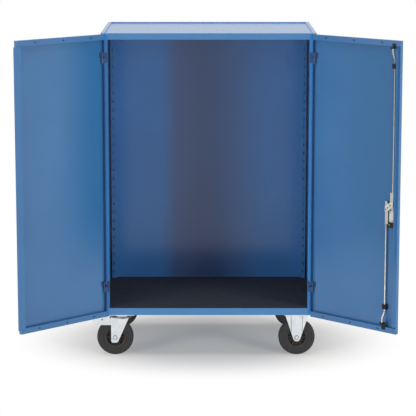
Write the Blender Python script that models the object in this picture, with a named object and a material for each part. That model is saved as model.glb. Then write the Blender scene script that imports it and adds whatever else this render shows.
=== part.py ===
# Cupboard trolley: a two-door sheet-steel cabinet on four castors, doors standing open
# Metres, +Z up, the front faces -Y, the ground is z = 0
import math

import bmesh
import bpy
from mathutils import Matrix, Vector

MM = 0.001

# Overall sizes
BODY_WIDTH = 1150 * MM
BODY_DEPTH = 760 * MM
BODY_HEIGHT = 1540 * MM
UNDERSIDE = 235 * MM
SEAT = 0.3 * MM
OVERRUN = 5 * MM
WELD = 0.001 * MM

# Cabinet sheet work
SHEET = 1.5 * MM
STILE_WIDTH = 36 * MM
STILE_RETURN = 25 * MM
STILE_LIP = 14 * MM
REAR_FLANGE = 22 * MM
TOP_RAIL = 34 * MM
TOP_RETURN = 30 * MM
TOP_REAR_APRON = 20 * MM
LID_RECESS = 6 * MM
LID_FRONT_RIM = 8 * MM
LID_SIDE_RIM = 19 * MM
BOTTOM_RAIL = 38.5 * MM
RAIL_LIP = 3.5 * MM
TRAY_SHEET = 2 * MM
TRAY_RETURN = 26 * MM
BACK_SHEET = 1.2 * MM
BACK_INSET = 12 * MM
MAT_THICKNESS = 6 * MM
MAT_FRONT_MARGIN = 3 * MM

# Slotted uprights for shelves
UPRIGHT_WIDTH = 24 * MM
UPRIGHT_DEPTH = 30 * MM
UPRIGHT_WALL_GAP = 11 * MM
FRONT_UPRIGHT_DEPTH = 22 * MM
FRONT_UPRIGHT_STEP = 2 * MM
UPRIGHT_HEAD_ROOM = 40 * MM
SLOT_WIDTH = 8 * MM
SLOT_HEIGHT = 10 * MM
SLOT_PITCH = 50 * MM
FIRST_SLOT = 48 * MM

# Castor channels under the floor
CHANNEL_WIDTH = 150 * MM
CHANNEL_SHEET = 3 * MM

# Doors
DOOR_OPEN = math.radians(138)
DOOR_SHEET = 1.2 * MM
DOOR_DEPTH = 20 * MM
DOOR_FRAME_GAP = 3 * MM
DOOR_SIDE_GAP = 2 * MM
DOOR_CENTRE_GAP = 3 * MM
DOOR_DROP = 4 * MM
DOOR_LIP = 30 * MM
DOOR_FREE_LIP = 27 * MM
LIP_SLIT = 4 * MM
VENT_RADIUS = 3 * MM
VENT_FIRST = 82 * MM
VENT_PITCH = 182.5 * MM
VENT_COUNT = 3
STRIP_SHEET = 1.5 * MM
STRIP_REACH = 20 * MM
STRIP_TOP_CLEAR = 32 * MM
STRIP_BOTTOM_CLEAR = 23 * MM

# Hinges
HINGE_EDGE = 7 * MM
HINGE_RIM = 10.5 * MM
HINGE_TOP_DROP = 131 * MM
HINGE_BOTTOM_RISE = 161 * MM
HINGE_HEIGHT = 56 * MM
HINGE_NOTCH = 2 * MM
BARREL_RADIUS = 4.5 * MM
BARREL_GAP = 0.4 * MM
PIN_RADIUS = 2.5 * MM
PIN_CLEARANCE = 0.1 * MM
PIN_TAIL = 2 * MM
PIN_HEAD_RADIUS = 4 * MM
PIN_HEAD = 2.5 * MM
NECK_THICKNESS = 4 * MM
NECK_REACH = 22 * MM
LEG_FOOT = 12 * MM
LEG_FOOT_THICKNESS = 3 * MM
HINGE_SLIT_CLEAR = 1.5 * MM
DOOR_LEAF_REACH = 14 * MM

# Espagnolette gear and rods on the right door
SPINDLE_INSET = 60 * MM
SPINDLE_HEIGHT = 669 * MM
SPINDLE_RADIUS = 7 * MM
SPINDLE_CLEARANCE = 0.5 * MM
TEETH = 12
TOOTH_MODULE = 2 * MM
PRESSURE_ANGLE = math.radians(25)
ADDENDUM_SHARE = 0.8
DEDENDUM_SHARE = 1.0
BACKLASH = 0.5 * MM
FLANK_POINTS = 4
PINION_FACE = 5 * MM
RACK_THICKNESS = 4 * MM
RACK_WIDTH = 12 * MM
RACK_LEVEL = 2 * MM
RACK_TEETH = 6
RACK_FIRST_SHARE = 1.5
RACK_TAIL = 27 * MM
UPPER_RACK_HEAD = 76 * MM
LOWER_RACK_HEAD = 94 * MM
ROD_RADIUS = 4 * MM
ROD_END_LEVEL = 24 * MM
ROD_CLEARANCE = 0.3 * MM
ROD_BEND = 36 * MM
ROD_STRAIGHT_END = 30 * MM
ROD_RACK_OVERLAP = 14 * MM
UPPER_ROD_STOP = 4 * MM
LOWER_ROD_STOP = 2 * MM
ROD_HOLE_RADIUS = 6 * MM
COVER_SHEET = 2.5 * MM
COVER_CLEAR = 1.5 * MM
COVER_HALF_HEIGHT = 27 * MM
COVER_SHOULDER = 12 * MM
POST_RADIUS = 3 * MM
POST_OFFSET = 3 * MM
POST_HEIGHT = 18 * MM
GUIDE_HALF = 13 * MM
GUIDE_CAP = 3 * MM
GUIDE_SCREW_RADIUS = 4 * MM
GUIDE_SCREW_HEAD = 1.5 * MM
UPPER_GUIDE_DROP = 134 * MM
LOWER_GUIDE_RISE = 136 * MM
END_GUIDE_HALF = 11 * MM
END_GUIDE_BLOCK = 8 * MM
END_GUIDE_WALL = 5 * MM
END_GUIDE_TONGUE = 1.8 * MM
END_GUIDE_REACH = 18 * MM
LOCK_BLOCK_WIDTH = 28 * MM
LOCK_BLOCK_OFFSET = 9.5 * MM
LOCK_BLOCK_TOP = 22 * MM
LOCK_BLOCK_HEIGHT = 60 * MM
LOCK_BLOCK_LEVEL = 1.5 * MM
RETAINER_WIDTH = 40 * MM
RETAINER_HEIGHT = 29 * MM
RETAINER_OFFSET = 7.5 * MM
RETAINER_LEVEL = 4 * MM

# Swing handle on the outside of the right door
BASE_WIDTH = 31 * MM
BASE_TOP = 26 * MM
BASE_LENGTH = 146 * MM
BASE_THICKNESS = 10 * MM
BASE_CORNER = 5 * MM
PLUG_DROP = 96 * MM
PLUG_RADIUS = 7 * MM
PLUG_CLEARANCE = 0.3 * MM
PLUG_END = 1 * MM
PLUG_SHORT = 3 * MM
KEYWAY_WIDTH = 1.8 * MM
KEYWAY_LENGTH = 7 * MM
KEYWAY_DEPTH = 5 * MM
LEVER_WIDTH = 24 * MM
LEVER_LENGTH = 118 * MM
LEVER_HALF = 5.5 * MM
LEVER_LIFT_OFF = 0.7 * MM
LEVER_TIP = 3.5 * MM
LEVER_TIP_CHAMFER = 8 * MM
HEAD_HALF_WIDTH = 4 * MM
HEAD_HALF_LENGTH = 4.5 * MM
HEAD_REACH = 4.4 * MM
HEAD_SLOT_CLEAR = 0.4 * MM
HEAD_SLOT_REACH = 11 * MM
LEVER_PIN_RADIUS = 2.2 * MM

# Castors
WHEEL_RADIUS = 100 * MM
TYRE_WIDTH = 50 * MM
TYRE_CROWN = 6 * MM
TYRE_SHOULDER = 14 * MM
RIM_RADIUS = 56 * MM
RIM_WALL = 7 * MM
RIM_WIDTH = 44 * MM
WEB_THICKNESS = 9 * MM
HUB_RADIUS = 20 * MM
RIB_COUNT = 3
RIB_THICKNESS = 5 * MM
RIB_WIDTH = 34 * MM
AXLE_RADIUS = 6 * MM
AXLE_CLEARANCE = 0.25 * MM
AXLE_HEAD_RADIUS = 9.5 * MM
AXLE_HEAD = 6 * MM
CHEEK_INSIDE = 28 * MM
CHEEK_SHEET = 4 * MM
CASTOR_PLATE_LENGTH = 140 * MM
CASTOR_PLATE_WIDTH = 110 * MM
CASTOR_PLATE = 5 * MM
PLATE_HOLE_RADIUS = 5.5 * MM
PLATE_HOLE_INSET = 17.5 * MM
CASTOR_FRONT_INSET = 65 * MM
CASTOR_REAR_INSET = 95 * MM
SWIVEL_SIDE_INSET = 100 * MM
FIXED_SIDE_INSET = 91 * MM
TRAIL = 38 * MM
RACE_RADIUS = 50 * MM
RACE_HEIGHT = 9 * MM
RACE_CHAMFER = 3 * MM
KING_PIN_RADIUS = 8 * MM
KING_PIN_CLEARANCE = 0.4 * MM
KING_PIN_HEAD_RADIUS = 13 * MM
KING_PIN_HEAD = 6 * MM
CROWN_SHEET = 4 * MM
FORK_TRAIL_EDGE = 60 * MM
FORK_LEAD_EDGE = 36 * MM
FORK_FOOT_DROP = 29 * MM
FORK_FOOT_WIDTH = 39 * MM
FORK_FOOT_CHAMFER = 7 * MM
BRACKET_TOP_HALF = 63 * MM
BRACKET_FOOT_HALF = 18 * MM
BRACKET_FOOT_DROP = 11 * MM
BRACKET_TOE_DROP = 21 * MM
BRACKET_TOE_HALF = 9 * MM
PEDAL_PIVOT_X = 48 * MM
PEDAL_PIVOT_RISE = 85 * MM
PEDAL_PIVOT_RADIUS = 4 * MM
PEDAL_SHEET = 3 * MM
PEDAL_HEEL = 14 * MM
PEDAL_HALF_HEIGHT = 14 * MM
PEDAL_TREAD_START = 104 * MM
PEDAL_HOOD_START = 68 * MM
PEDAL_HOOD_END = 146 * MM
PEDAL_HOOD_RISE = 38 * MM
PEDAL_END = 165 * MM
PEDAL_END_HALF = 9 * MM
PEDAL_WHEEL_GAP = 4 * MM

# Roundness of turned pieces
FINE_STEPS = 40
ROUND_STEPS = 20
SMALL_STEPS = 12
HEX_STEPS = 6
SMOOTH_ANGLE = math.radians(35)

# Places worked out from the sizes above
HALF_WIDTH = BODY_WIDTH / 2
TOP = UNDERSIDE + BODY_HEIGHT
INNER_HALF = HALF_WIDTH - SHEET - SEAT
RAIL_TOP = UNDERSIDE + BOTTOM_RAIL
FLOOR_TOP = RAIL_TOP - RAIL_LIP
MAT_TOP = FLOOR_TOP + SEAT + MAT_THICKNESS
TOP_RAIL_UNDER = TOP - TOP_RAIL
BACK_FACE = BODY_DEPTH - BACK_INSET
STILE_EDGE = HALF_WIDTH - STILE_WIDTH
PLATE_TOP = UNDERSIDE - SEAT
PLATE_UNDER = PLATE_TOP - CASTOR_PLATE
DOOR_OUTER = HINGE_RIM - DOOR_DEPTH
DOOR_SKIN_IN = DOOR_OUTER + DOOR_SHEET
DOOR_LOW = UNDERSIDE - DOOR_DROP
DOOR_HIGH = TOP - DOOR_DROP
DOOR_WIDTH = HALF_WIDTH - DOOR_SIDE_GAP - DOOR_CENTRE_GAP / 2
DOOR_FREE = DOOR_WIDTH - HINGE_EDGE
HINGE_X = HALF_WIDTH - DOOR_SIDE_GAP - HINGE_EDGE
HINGE_Y = -(DOOR_FRAME_GAP + HINGE_RIM)
HINGE_CENTRES = {"upper": TOP - HINGE_TOP_DROP, "lower": UNDERSIDE + HINGE_BOTTOM_RISE}
SPINDLE_U = DOOR_FREE - SPINDLE_INSET
SPINDLE_Z = UNDERSIDE + SPINDLE_HEIGHT
PINION_RADIUS = TEETH * TOOTH_MODULE / 2
ROOT_RADIUS = PINION_RADIUS - DEDENDUM_SHARE * TOOTH_MODULE
TIP_RADIUS = PINION_RADIUS + ADDENDUM_SHARE * TOOTH_MODULE
RACK_INNER = PINION_RADIUS + DEDENDUM_SHARE * TOOTH_MODULE
RACK_OUTER = RACK_INNER + RACK_WIDTH
ROD_OFFSET = (RACK_INNER + RACK_OUTER) / 2
ROD_U = {"upper": SPINDLE_U + ROD_OFFSET, "lower": SPINDLE_U - ROD_OFFSET}
SLOTTED_HEIGHT = TOP_RAIL_UNDER - UPRIGHT_HEAD_ROOM - FLOOR_TOP - FIRST_SLOT
SLOT_COUNT = int(SLOTTED_HEIGHT / SLOT_PITCH)
ROD_END_Z = {"upper": TOP_RAIL_UNDER - UPPER_ROD_STOP, "lower": MAT_TOP + LOWER_ROD_STOP}
BASE_FACE = DOOR_OUTER - SEAT - BASE_THICKNESS
LEVER_AXIS = BASE_FACE - LEVER_LIFT_OFF - LEVER_HALF
RIGHT_SIDE = 1
LEFT_SIDE = -1
SIDES = {"left": LEFT_SIDE, "right": RIGHT_SIDE}
SWIVEL_X = HALF_WIDTH - SWIVEL_SIDE_INSET
FIXED_X = HALF_WIDTH - FIXED_SIDE_INSET
CASTOR_Y = {"front": CASTOR_FRONT_INSET, "rear": BODY_DEPTH - CASTOR_REAR_INSET}


# Mesh helpers
def new_object(name, mesh_builder):
    """Make an object from a bmesh, with merged points and outward faces."""
    bmesh.ops.remove_doubles(mesh_builder, verts=mesh_builder.verts, dist=WELD)
    bmesh.ops.recalc_face_normals(mesh_builder, faces=mesh_builder.faces)
    mesh = bpy.data.meshes.new(name)
    mesh_builder.to_mesh(mesh)
    mesh_builder.free()
    thing = bpy.data.objects.new(name, mesh)
    bpy.context.scene.collection.objects.link(thing)
    return thing


def prism(points, axis, low, high):
    """Extrude a closed outline along an axis; its points hold the other two axes in order."""
    builder = bmesh.new()
    place = {
        "x": lambda a, b, c: (c, a, b),
        "y": lambda a, b, c: (a, c, b),
        "z": lambda a, b, c: (a, b, c),
    }[axis]
    start = [builder.verts.new(place(a, b, low)) for a, b in points]
    end = [builder.verts.new(place(a, b, high)) for a, b in points]
    builder.faces.new(start)
    builder.faces.new(reversed(end))
    for i in range(len(points)):
        j = (i + 1) % len(points)
        builder.faces.new((start[j], start[i], end[i], end[j]))
    return new_object("prism", builder)


def box(x, y, z):
    """A box from three (low, high) pairs."""
    outline = [(x[0], y[0]), (x[1], y[0]), (x[1], y[1]), (x[0], y[1])]
    return prism(outline, "z", z[0], z[1])


def circle(radius, steps, centre=(0, 0), turn=0.0):
    """Points of a circle round a centre."""
    angles = [turn + math.tau * i / steps for i in range(steps)]
    return [(centre[0] + radius * math.cos(a), centre[1] + radius * math.sin(a)) for a in angles]


def rod(radius, axis, centre, low, high, steps=SMALL_STEPS):
    """A round bar along an axis."""
    return prism(circle(radius, steps, centre), axis, low, high)


def around(radius, steps):
    """The corner radius of a faceted bore whose flats lie at the wanted radius."""
    return radius / math.cos(math.pi / steps)


def strip(path, thickness):
    """The closed outline of a folded sheet that lies to the left of a path."""
    points = [Vector(p) for p in path]
    offset = []
    for i, point in enumerate(points):
        before = (point - points[i - 1]).normalized() if i else None
        after = (points[i + 1] - point).normalized() if i + 1 < len(points) else None
        before = before or after
        after = after or before
        side_a = Vector((-before.y, before.x))
        side_b = Vector((-after.y, after.x))
        mitre = (side_a + side_b).normalized()
        offset.append(point + mitre * (thickness / mitre.dot(side_a)))
    return [tuple(p) for p in points] + [tuple(p) for p in reversed(offset)]


def turned(profile, centre, steps):
    """Turn a closed (radius, along) profile about a line along Y through centre (x, y, z)."""
    builder = bmesh.new()
    rings = []
    for i in range(steps):
        angle = math.tau * i / steps
        rings.append([
            builder.verts.new((
                centre[0] + radius * math.cos(angle),
                centre[1] + along,
                centre[2] + radius * math.sin(angle),
            ))
            for radius, along in profile
        ])
    for i in range(steps):
        ring, following = rings[i], rings[(i + 1) % steps]
        for j in range(len(profile)):
            k = (j + 1) % len(profile)
            if profile[j][0] == 0 and profile[k][0] == 0:
                continue
            builder.faces.new((ring[j], ring[k], following[k], following[j]))
    return new_object("turned", builder)


def upright_turned(profile, steps):
    """A (radius, height) profile turned about the vertical line through the origin."""
    thing = turned(profile, (0, 0, 0), steps)
    thing.data.transform(Matrix.Rotation(math.radians(90), 4, "X"))
    return thing


def swept(path, radius, steps=SMALL_STEPS):
    """A round bar along a path in the plane x = constant, given as (x, y, z) points."""
    builder = bmesh.new()
    points = [Vector(p) for p in path]
    across = Vector((1, 0, 0))
    rings = []
    for i, point in enumerate(points):
        before = (point - points[i - 1]).normalized() if i else None
        after = (points[i + 1] - point).normalized() if i + 1 < len(points) else None
        before = before or after
        after = after or before
        along = (before + after).normalized()
        lift = across.cross(along) / along.dot(before)
        rings.append([builder.verts.new(point + across * a + lift * b) for a, b in circle(radius, steps)])
    for ring, following in zip(rings, rings[1:]):
        for j in range(steps):
            k = (j + 1) % steps
            builder.faces.new((ring[j], ring[k], following[k], following[j]))
    builder.faces.new(rings[0])
    builder.faces.new(rings[-1])
    return new_object("swept", builder)


def combine(thing, tools, operation):
    """Cut or join a thing with each tool in turn, and take the tools away."""
    for tool in tools:
        modifier = thing.modifiers.new("combine", "BOOLEAN")
        modifier.operation = operation
        modifier.object = tool
        bpy.context.view_layer.update()
        graph = bpy.context.evaluated_depsgraph_get()
        result = bpy.data.meshes.new_from_object(thing.evaluated_get(graph))
        thing.modifiers.clear()
        spent = [thing.data, tool.data]
        thing.data = result
        bpy.data.objects.remove(tool)
        for mesh in spent:
            bpy.data.meshes.remove(mesh)
    return thing


def cut(thing, *tools):
    """Take the tools' shapes out of a thing."""
    return combine(thing, tools, "DIFFERENCE")


def join(thing, *tools):
    """Weld the tools' shapes onto a thing."""
    return combine(thing, tools, "UNION")


def mirrored(thing, side):
    """Flip a right-hand thing across x = 0 for the left side."""
    if side == LEFT_SIDE:
        thing.data.transform(Matrix.Scale(-1, 4, (1, 0, 0)))
        thing.data.flip_normals()
    return thing


def on_right_door(thing):
    """Door pieces are drawn as on the left door; the right one is its mirror image."""
    return mirrored(thing, LEFT_SIDE)


# Materials
def material(name, colour, roughness, metallic=0.0):
    """A plain shader with the piece's own colour."""
    made = bpy.data.materials.new(name)
    made.use_nodes = True
    shader = made.node_tree.nodes["Principled BSDF"]
    shader.inputs["Base Color"].default_value = (*colour, 1.0)
    shader.inputs["Roughness"].default_value = roughness
    shader.inputs["Metallic"].default_value = metallic
    return made


def materials():
    """Every finish on the trolley."""
    return {
        "blue": material("blue_paint", (0.075, 0.2, 0.43), 0.4),
        "light_blue": material("light_blue_paint", (0.11, 0.25, 0.48), 0.4),
        "zinc": material("zinc_plate", (0.68, 0.7, 0.72), 0.35, 1.0),
        "hinge": material("hinge_zinc", (0.3, 0.29, 0.22), 0.45, 1.0),
        "steel": material("rod_steel", (0.38, 0.38, 0.37), 0.4, 1.0),
        "cast": material("grey_casting", (0.42, 0.42, 0.4), 0.5, 0.6),
        "black": material("black_plastic", (0.012, 0.012, 0.014), 0.5),
        "mat": material("ribbed_rubber", (0.02, 0.022, 0.028), 0.8),
        "tyre": material("tyre_rubber", (0.035, 0.035, 0.035), 0.75),
        "rim": material("rim_plastic", (0.028, 0.025, 0.022), 0.6),
        "brass": material("plug_brass", (0.5, 0.45, 0.33), 0.35, 1.0),
    }


def finish(thing, name, look, parent, origin=(0, 0, 0)):
    """Name a piece, move its origin, give it its finish and hang it on its parent."""
    thing.name = name
    thing.data.name = name
    thing.data.transform(Matrix.Translation(-Vector(origin)))
    thing.location = origin
    thing.parent = parent
    thing.data.materials.clear()
    thing.data.materials.append(look)
    thing.data.shade_smooth()
    thing.data.set_sharp_from_angle(angle=SMOOTH_ANGLE)
    return thing


def guide_point(name, parent, place, turn=0.0):
    """An empty that carries pieces, turned about Z."""
    empty = bpy.data.objects.new(name, None)
    bpy.context.scene.collection.objects.link(empty)
    empty.parent = parent
    empty.location = place
    empty.rotation_euler = (0, 0, turn)
    return empty


# Cabinet
def side_panel():
    """Right side: wall, front stile with its return, and rear flange, from one folded sheet."""
    path = [
        (STILE_EDGE + STILE_LIP, STILE_RETURN),
        (STILE_EDGE, STILE_RETURN),
        (STILE_EDGE, 0),
        (HALF_WIDTH, 0),
        (HALF_WIDTH, BODY_DEPTH),
        (HALF_WIDTH - REAR_FLANGE, BODY_DEPTH),
    ]
    panel = prism(strip(path, SHEET), "z", UNDERSIDE, TOP)
    inside = (STILE_EDGE - OVERRUN, HALF_WIDTH - SHEET)
    front = (-OVERRUN, STILE_RETURN + OVERRUN)
    cut(
        panel,
        box(inside, front, (TOP_RAIL_UNDER - SEAT, TOP + OVERRUN)),
        box(inside, front, (UNDERSIDE - OVERRUN, RAIL_TOP + SEAT)),
        box(
            (HALF_WIDTH - REAR_FLANGE - OVERRUN, HALF_WIDTH - SHEET),
            (BODY_DEPTH - SHEET - OVERRUN, BODY_DEPTH + OVERRUN),
            (TOP - TOP_REAR_APRON - SEAT, TOP + OVERRUN),
        ),
    )
    slit_x = HINGE_X - NECK_REACH + NECK_THICKNESS / 2
    half = NECK_THICKNESS / 2 + HINGE_SLIT_CLEAR
    tall = HINGE_HEIGHT / 2 + HINGE_SLIT_CLEAR
    for height in HINGE_CENTRES.values():
        slit = ((slit_x - half, slit_x + half), (-OVERRUN, SHEET + OVERRUN), (height - tall, height + tall))
        cut(panel, box(*slit))
    return panel


def top_panel():
    """Recessed lid with its front rail folded down and back, and a rear apron."""
    path = [
        (TOP_RETURN, TOP_RAIL_UNDER),
        (0, TOP_RAIL_UNDER),
        (0, TOP),
        (BODY_DEPTH, TOP),
        (BODY_DEPTH, TOP - TOP_REAR_APRON),
    ]
    panel = prism(strip(path, -SHEET), "x", -INNER_HALF, INNER_HALF)
    side = HALF_WIDTH - LID_SIDE_RIM
    x, y = (-side, side), (LID_FRONT_RIM, BODY_DEPTH - LID_SIDE_RIM)
    around_x = (x[0] - SHEET, x[1] + SHEET)
    around_y = (y[0] - SHEET, y[1] + SHEET)
    join(panel, box(around_x, around_y, (TOP - LID_RECESS - SHEET, TOP)))
    cut(panel, box(x, y, (TOP - LID_RECESS, TOP + OVERRUN)))
    keeper = (HINGE_X - ROD_U["upper"], HINGE_Y + ROD_END_LEVEL)
    hole = rod(ROD_HOLE_RADIUS, "z", keeper, TOP_RAIL_UNDER - OVERRUN, TOP_RAIL_UNDER + OVERRUN)
    return cut(panel, hole)


def floor_tray():
    """Floor plate with the bottom rail in front, folded under, and a rear flange."""
    rear = BACK_FACE - SEAT
    outline = [
        (0, UNDERSIDE),
        (TRAY_RETURN, UNDERSIDE),
        (TRAY_RETURN, UNDERSIDE + TRAY_SHEET),
        (TRAY_SHEET, UNDERSIDE + TRAY_SHEET),
        (TRAY_SHEET, FLOOR_TOP - TRAY_SHEET),
        (rear - TRAY_SHEET, FLOOR_TOP - TRAY_SHEET),
        (rear - TRAY_SHEET, UNDERSIDE + TRAY_SHEET),
        (rear - TRAY_RETURN, UNDERSIDE + TRAY_SHEET),
        (rear - TRAY_RETURN, UNDERSIDE),
        (rear, UNDERSIDE),
        (rear, FLOOR_TOP),
        (TRAY_SHEET, FLOOR_TOP),
        (TRAY_SHEET, RAIL_TOP),
        (0, RAIL_TOP),
    ]
    tray = prism(outline, "x", -INNER_HALF, INNER_HALF)
    keeper = (HINGE_X - ROD_U["lower"], HINGE_Y + ROD_END_LEVEL)
    hole = rod(ROD_HOLE_RADIUS, "z", keeper, FLOOR_TOP - OVERRUN, FLOOR_TOP + OVERRUN)
    return cut(tray, hole)


def back_panel():
    """Back wall, a shallow pan whose sides reach the rear flanges."""
    rear = BODY_DEPTH - SHEET - SEAT
    path = [(-INNER_HALF, rear), (-INNER_HALF, BACK_FACE), (INNER_HALF, BACK_FACE), (INNER_HALF, rear)]
    return prism(strip(path, BACK_SHEET), "z", UNDERSIDE, TOP - SHEET - SEAT)


def rubber_mat():
    """Mat that fills the floor, with notches round the stiles and uprights."""
    front_stop = STILE_RETURN + FRONT_UPRIGHT_DEPTH + SEAT + SEAT
    rear_stop = BACK_FACE - SEAT - UPRIGHT_DEPTH - SEAT
    narrow = STILE_EDGE - SEAT
    behind = HALF_WIDTH - UPRIGHT_WALL_GAP - UPRIGHT_WIDTH - SEAT
    half = [
        (narrow, MAT_FRONT_MARGIN),
        (narrow, front_stop),
        (INNER_HALF - SEAT, front_stop),
        (INNER_HALF - SEAT, rear_stop),
        (behind, rear_stop),
        (behind, BACK_FACE - SEAT),
    ]
    outline = half + [(-x, y) for x, y in reversed(half)]
    mat = prism(outline, "z", FLOOR_TOP + SEAT, MAT_TOP)
    keeper = (HINGE_X - ROD_U["lower"], HINGE_Y + ROD_END_LEVEL)
    hole = rod(ROD_HOLE_RADIUS, "z", keeper, FLOOR_TOP - OVERRUN, MAT_TOP + OVERRUN)
    return cut(mat, hole)


def slotted(upright, centre_x, face_y):
    """Cut the row of shelf slots through an upright's face."""
    for i in range(SLOT_COUNT):
        height = FLOOR_TOP + FIRST_SLOT + i * SLOT_PITCH
        x = (centre_x - SLOT_WIDTH / 2, centre_x + SLOT_WIDTH / 2)
        y = (face_y - OVERRUN, face_y + OVERRUN)
        cut(upright, box(x, y, (height - SLOT_HEIGHT / 2, height + SLOT_HEIGHT / 2)))
    return upright


def rear_upright():
    """Slotted channel against the back wall, its face forward."""
    outer = HALF_WIDTH - UPRIGHT_WALL_GAP
    inner = outer - UPRIGHT_WIDTH
    foot = BACK_FACE - SEAT
    face = foot - UPRIGHT_DEPTH
    path = [(inner, foot), (inner, face), (outer, face), (outer, foot)]
    upright = prism(strip(path, SHEET), "z", FLOOR_TOP + SEAT, TOP_RAIL_UNDER - UPRIGHT_HEAD_ROOM)
    return slotted(upright, (inner + outer) / 2, face)


def front_upright():
    """Slotted channel behind the stile, its face backward."""
    inner = STILE_EDGE + FRONT_UPRIGHT_STEP
    outer = inner + UPRIGHT_WIDTH
    foot = STILE_RETURN + SEAT
    face = foot + FRONT_UPRIGHT_DEPTH
    path = [(inner, foot), (inner, face), (outer, face), (outer, foot)]
    upright = prism(strip(path, -SHEET), "z", FLOOR_TOP + SEAT, TOP_RAIL_UNDER - UPRIGHT_HEAD_ROOM)
    return slotted(upright, (inner + outer) / 2, face)


def castor_channel(centre_x):
    """Channel that ties the floor to the castor plates."""
    low = UNDERSIDE + SEAT
    high = FLOOR_TOP - TRAY_SHEET - SEAT
    left = centre_x - CHANNEL_WIDTH / 2
    right = centre_x + CHANNEL_WIDTH / 2
    path = [(left, high), (left, low), (right, low), (right, high)]
    rear = BACK_FACE - SEAT - TRAY_RETURN
    return prism(strip(path, CHANNEL_SHEET), "y", TRAY_RETURN + SEAT, rear - SEAT)


# Doors, drawn shut from the hinge axis: x towards the free edge, y inward
def door_panel():
    """Door pan: skin, four sides and return lips on three of them."""
    high, low = DOOR_HIGH, DOOR_LOW
    pan = box((-HINGE_EDGE, DOOR_FREE), (DOOR_OUTER, HINGE_RIM), (low, high))
    inside = (-HINGE_EDGE + DOOR_SHEET, DOOR_FREE - DOOR_SHEET)
    cavity = box(inside, (DOOR_SKIN_IN, HINGE_RIM - DOOR_SHEET), (low + DOOR_SHEET, high - DOOR_SHEET))
    rim = (HINGE_RIM - DOOR_SHEET - OVERRUN, HINGE_RIM + OVERRUN)
    window = box((inside[0], DOOR_FREE - DOOR_FREE_LIP), rim, (low + DOOR_LIP, high - DOOR_LIP))
    cut(pan, cavity, window)
    slit_x = (DOOR_FREE - DOOR_FREE_LIP - OVERRUN, DOOR_FREE - DOOR_SHEET)
    cut(pan, box(slit_x, rim, (low + DOOR_LIP, low + DOOR_LIP + LIP_SLIT)))
    cut(pan, box(slit_x, rim, (high - DOOR_LIP - LIP_SLIT, high - DOOR_LIP)))
    for height in HINGE_CENTRES.values():
        tall = HINGE_HEIGHT / 2 + HINGE_NOTCH
        notch_x = (-HINGE_EDGE - OVERRUN, inside[0] + OVERRUN)
        cut(pan, box(notch_x, (DOOR_SKIN_IN, HINGE_RIM + OVERRUN), (height - tall, height + tall)))
    for i in range(VENT_COUNT):
        for height in (low + DOOR_LIP / 2, high - DOOR_LIP / 2):
            centre = (VENT_FIRST + i * VENT_PITCH, height)
            cut(pan, rod(VENT_RADIUS, "y", centre, *rim, HEX_STEPS))
    return pan


def right_door_holes(pan):
    """Holes for the spindle and for the lock plug."""
    through = (DOOR_OUTER - OVERRUN, DOOR_SKIN_IN + OVERRUN)
    spindle = (SPINDLE_U, SPINDLE_Z)
    plug = (SPINDLE_U, SPINDLE_Z - PLUG_DROP)
    cut(pan, rod(SPINDLE_RADIUS + SPINDLE_CLEARANCE, "y", spindle, *through, ROUND_STEPS))
    return cut(pan, rod(PLUG_RADIUS + PLUG_CLEARANCE + SEAT, "y", plug, *through, ROUND_STEPS))


def overlap_strip():
    """Strip on the left door that lies behind the right door's edge."""
    u = (DOOR_FREE - DOOR_FREE_LIP, DOOR_FREE + STRIP_REACH)
    v = (HINGE_RIM + SEAT, HINGE_RIM + SEAT + STRIP_SHEET)
    return box(u, v, (DOOR_LOW + STRIP_BOTTOM_CLEAR, DOOR_HIGH - STRIP_TOP_CLEAR))


def hinge_frame_leaf(height):
    """Cranked leaf: lower barrel, neck, and a leg through the stile's slit to a foot behind it."""
    low = height - HINGE_HEIGHT / 2
    high = height + HINGE_HEIGHT / 2
    middle = height - BARREL_GAP / 2
    half = NECK_THICKNESS / 2
    leg = (NECK_REACH - NECK_THICKNESS, NECK_REACH)
    foot_front = SHEET + SEAT - HINGE_Y
    foot = (foot_front, foot_front + LEG_FOOT_THICKNESS)
    leaf = box((0, NECK_REACH), (-half, half), (low, middle))
    join(leaf, box(leg, (-half, foot[1]), (low, high)))
    join(leaf, box((leg[0] - LEG_FOOT, leg[1]), foot, (low, high)))
    join(leaf, rod(BARREL_RADIUS, "z", (0, 0), low, middle, ROUND_STEPS))
    bore = around(PIN_RADIUS + PIN_CLEARANCE, SMALL_STEPS)
    return cut(leaf, rod(bore, "z", (0, 0), low - OVERRUN, middle + OVERRUN))


def hinge_door_leaf(height):
    """Upper barrel with the plate that is welded to the door's skin."""
    high = height + HINGE_HEIGHT / 2
    middle = height + BARREL_GAP / 2
    plate_u = (-HINGE_EDGE + DOOR_SHEET + SEAT, DOOR_LEAF_REACH)
    plate_v = (DOOR_SKIN_IN + SEAT, -BARREL_RADIUS + SEAT)
    leaf = box(plate_u, plate_v, (middle, high))
    join(leaf, rod(BARREL_RADIUS, "z", (0, 0), middle, high, ROUND_STEPS))
    bore = around(PIN_RADIUS + PIN_CLEARANCE, SMALL_STEPS)
    return cut(leaf, rod(bore, "z", (0, 0), middle - OVERRUN, high + OVERRUN))


def hinge_pin(height):
    """Headed pin through both barrels."""
    low = height - HINGE_HEIGHT / 2 - PIN_TAIL
    high = height + HINGE_HEIGHT / 2 + SEAT
    profile = [
        (0, low),
        (PIN_RADIUS, low),
        (PIN_RADIUS, high),
        (PIN_HEAD_RADIUS, high),
        (PIN_HEAD_RADIUS, high + PIN_HEAD),
        (0, high + PIN_HEAD),
    ]
    return upright_turned(profile, SMALL_STEPS)


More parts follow.
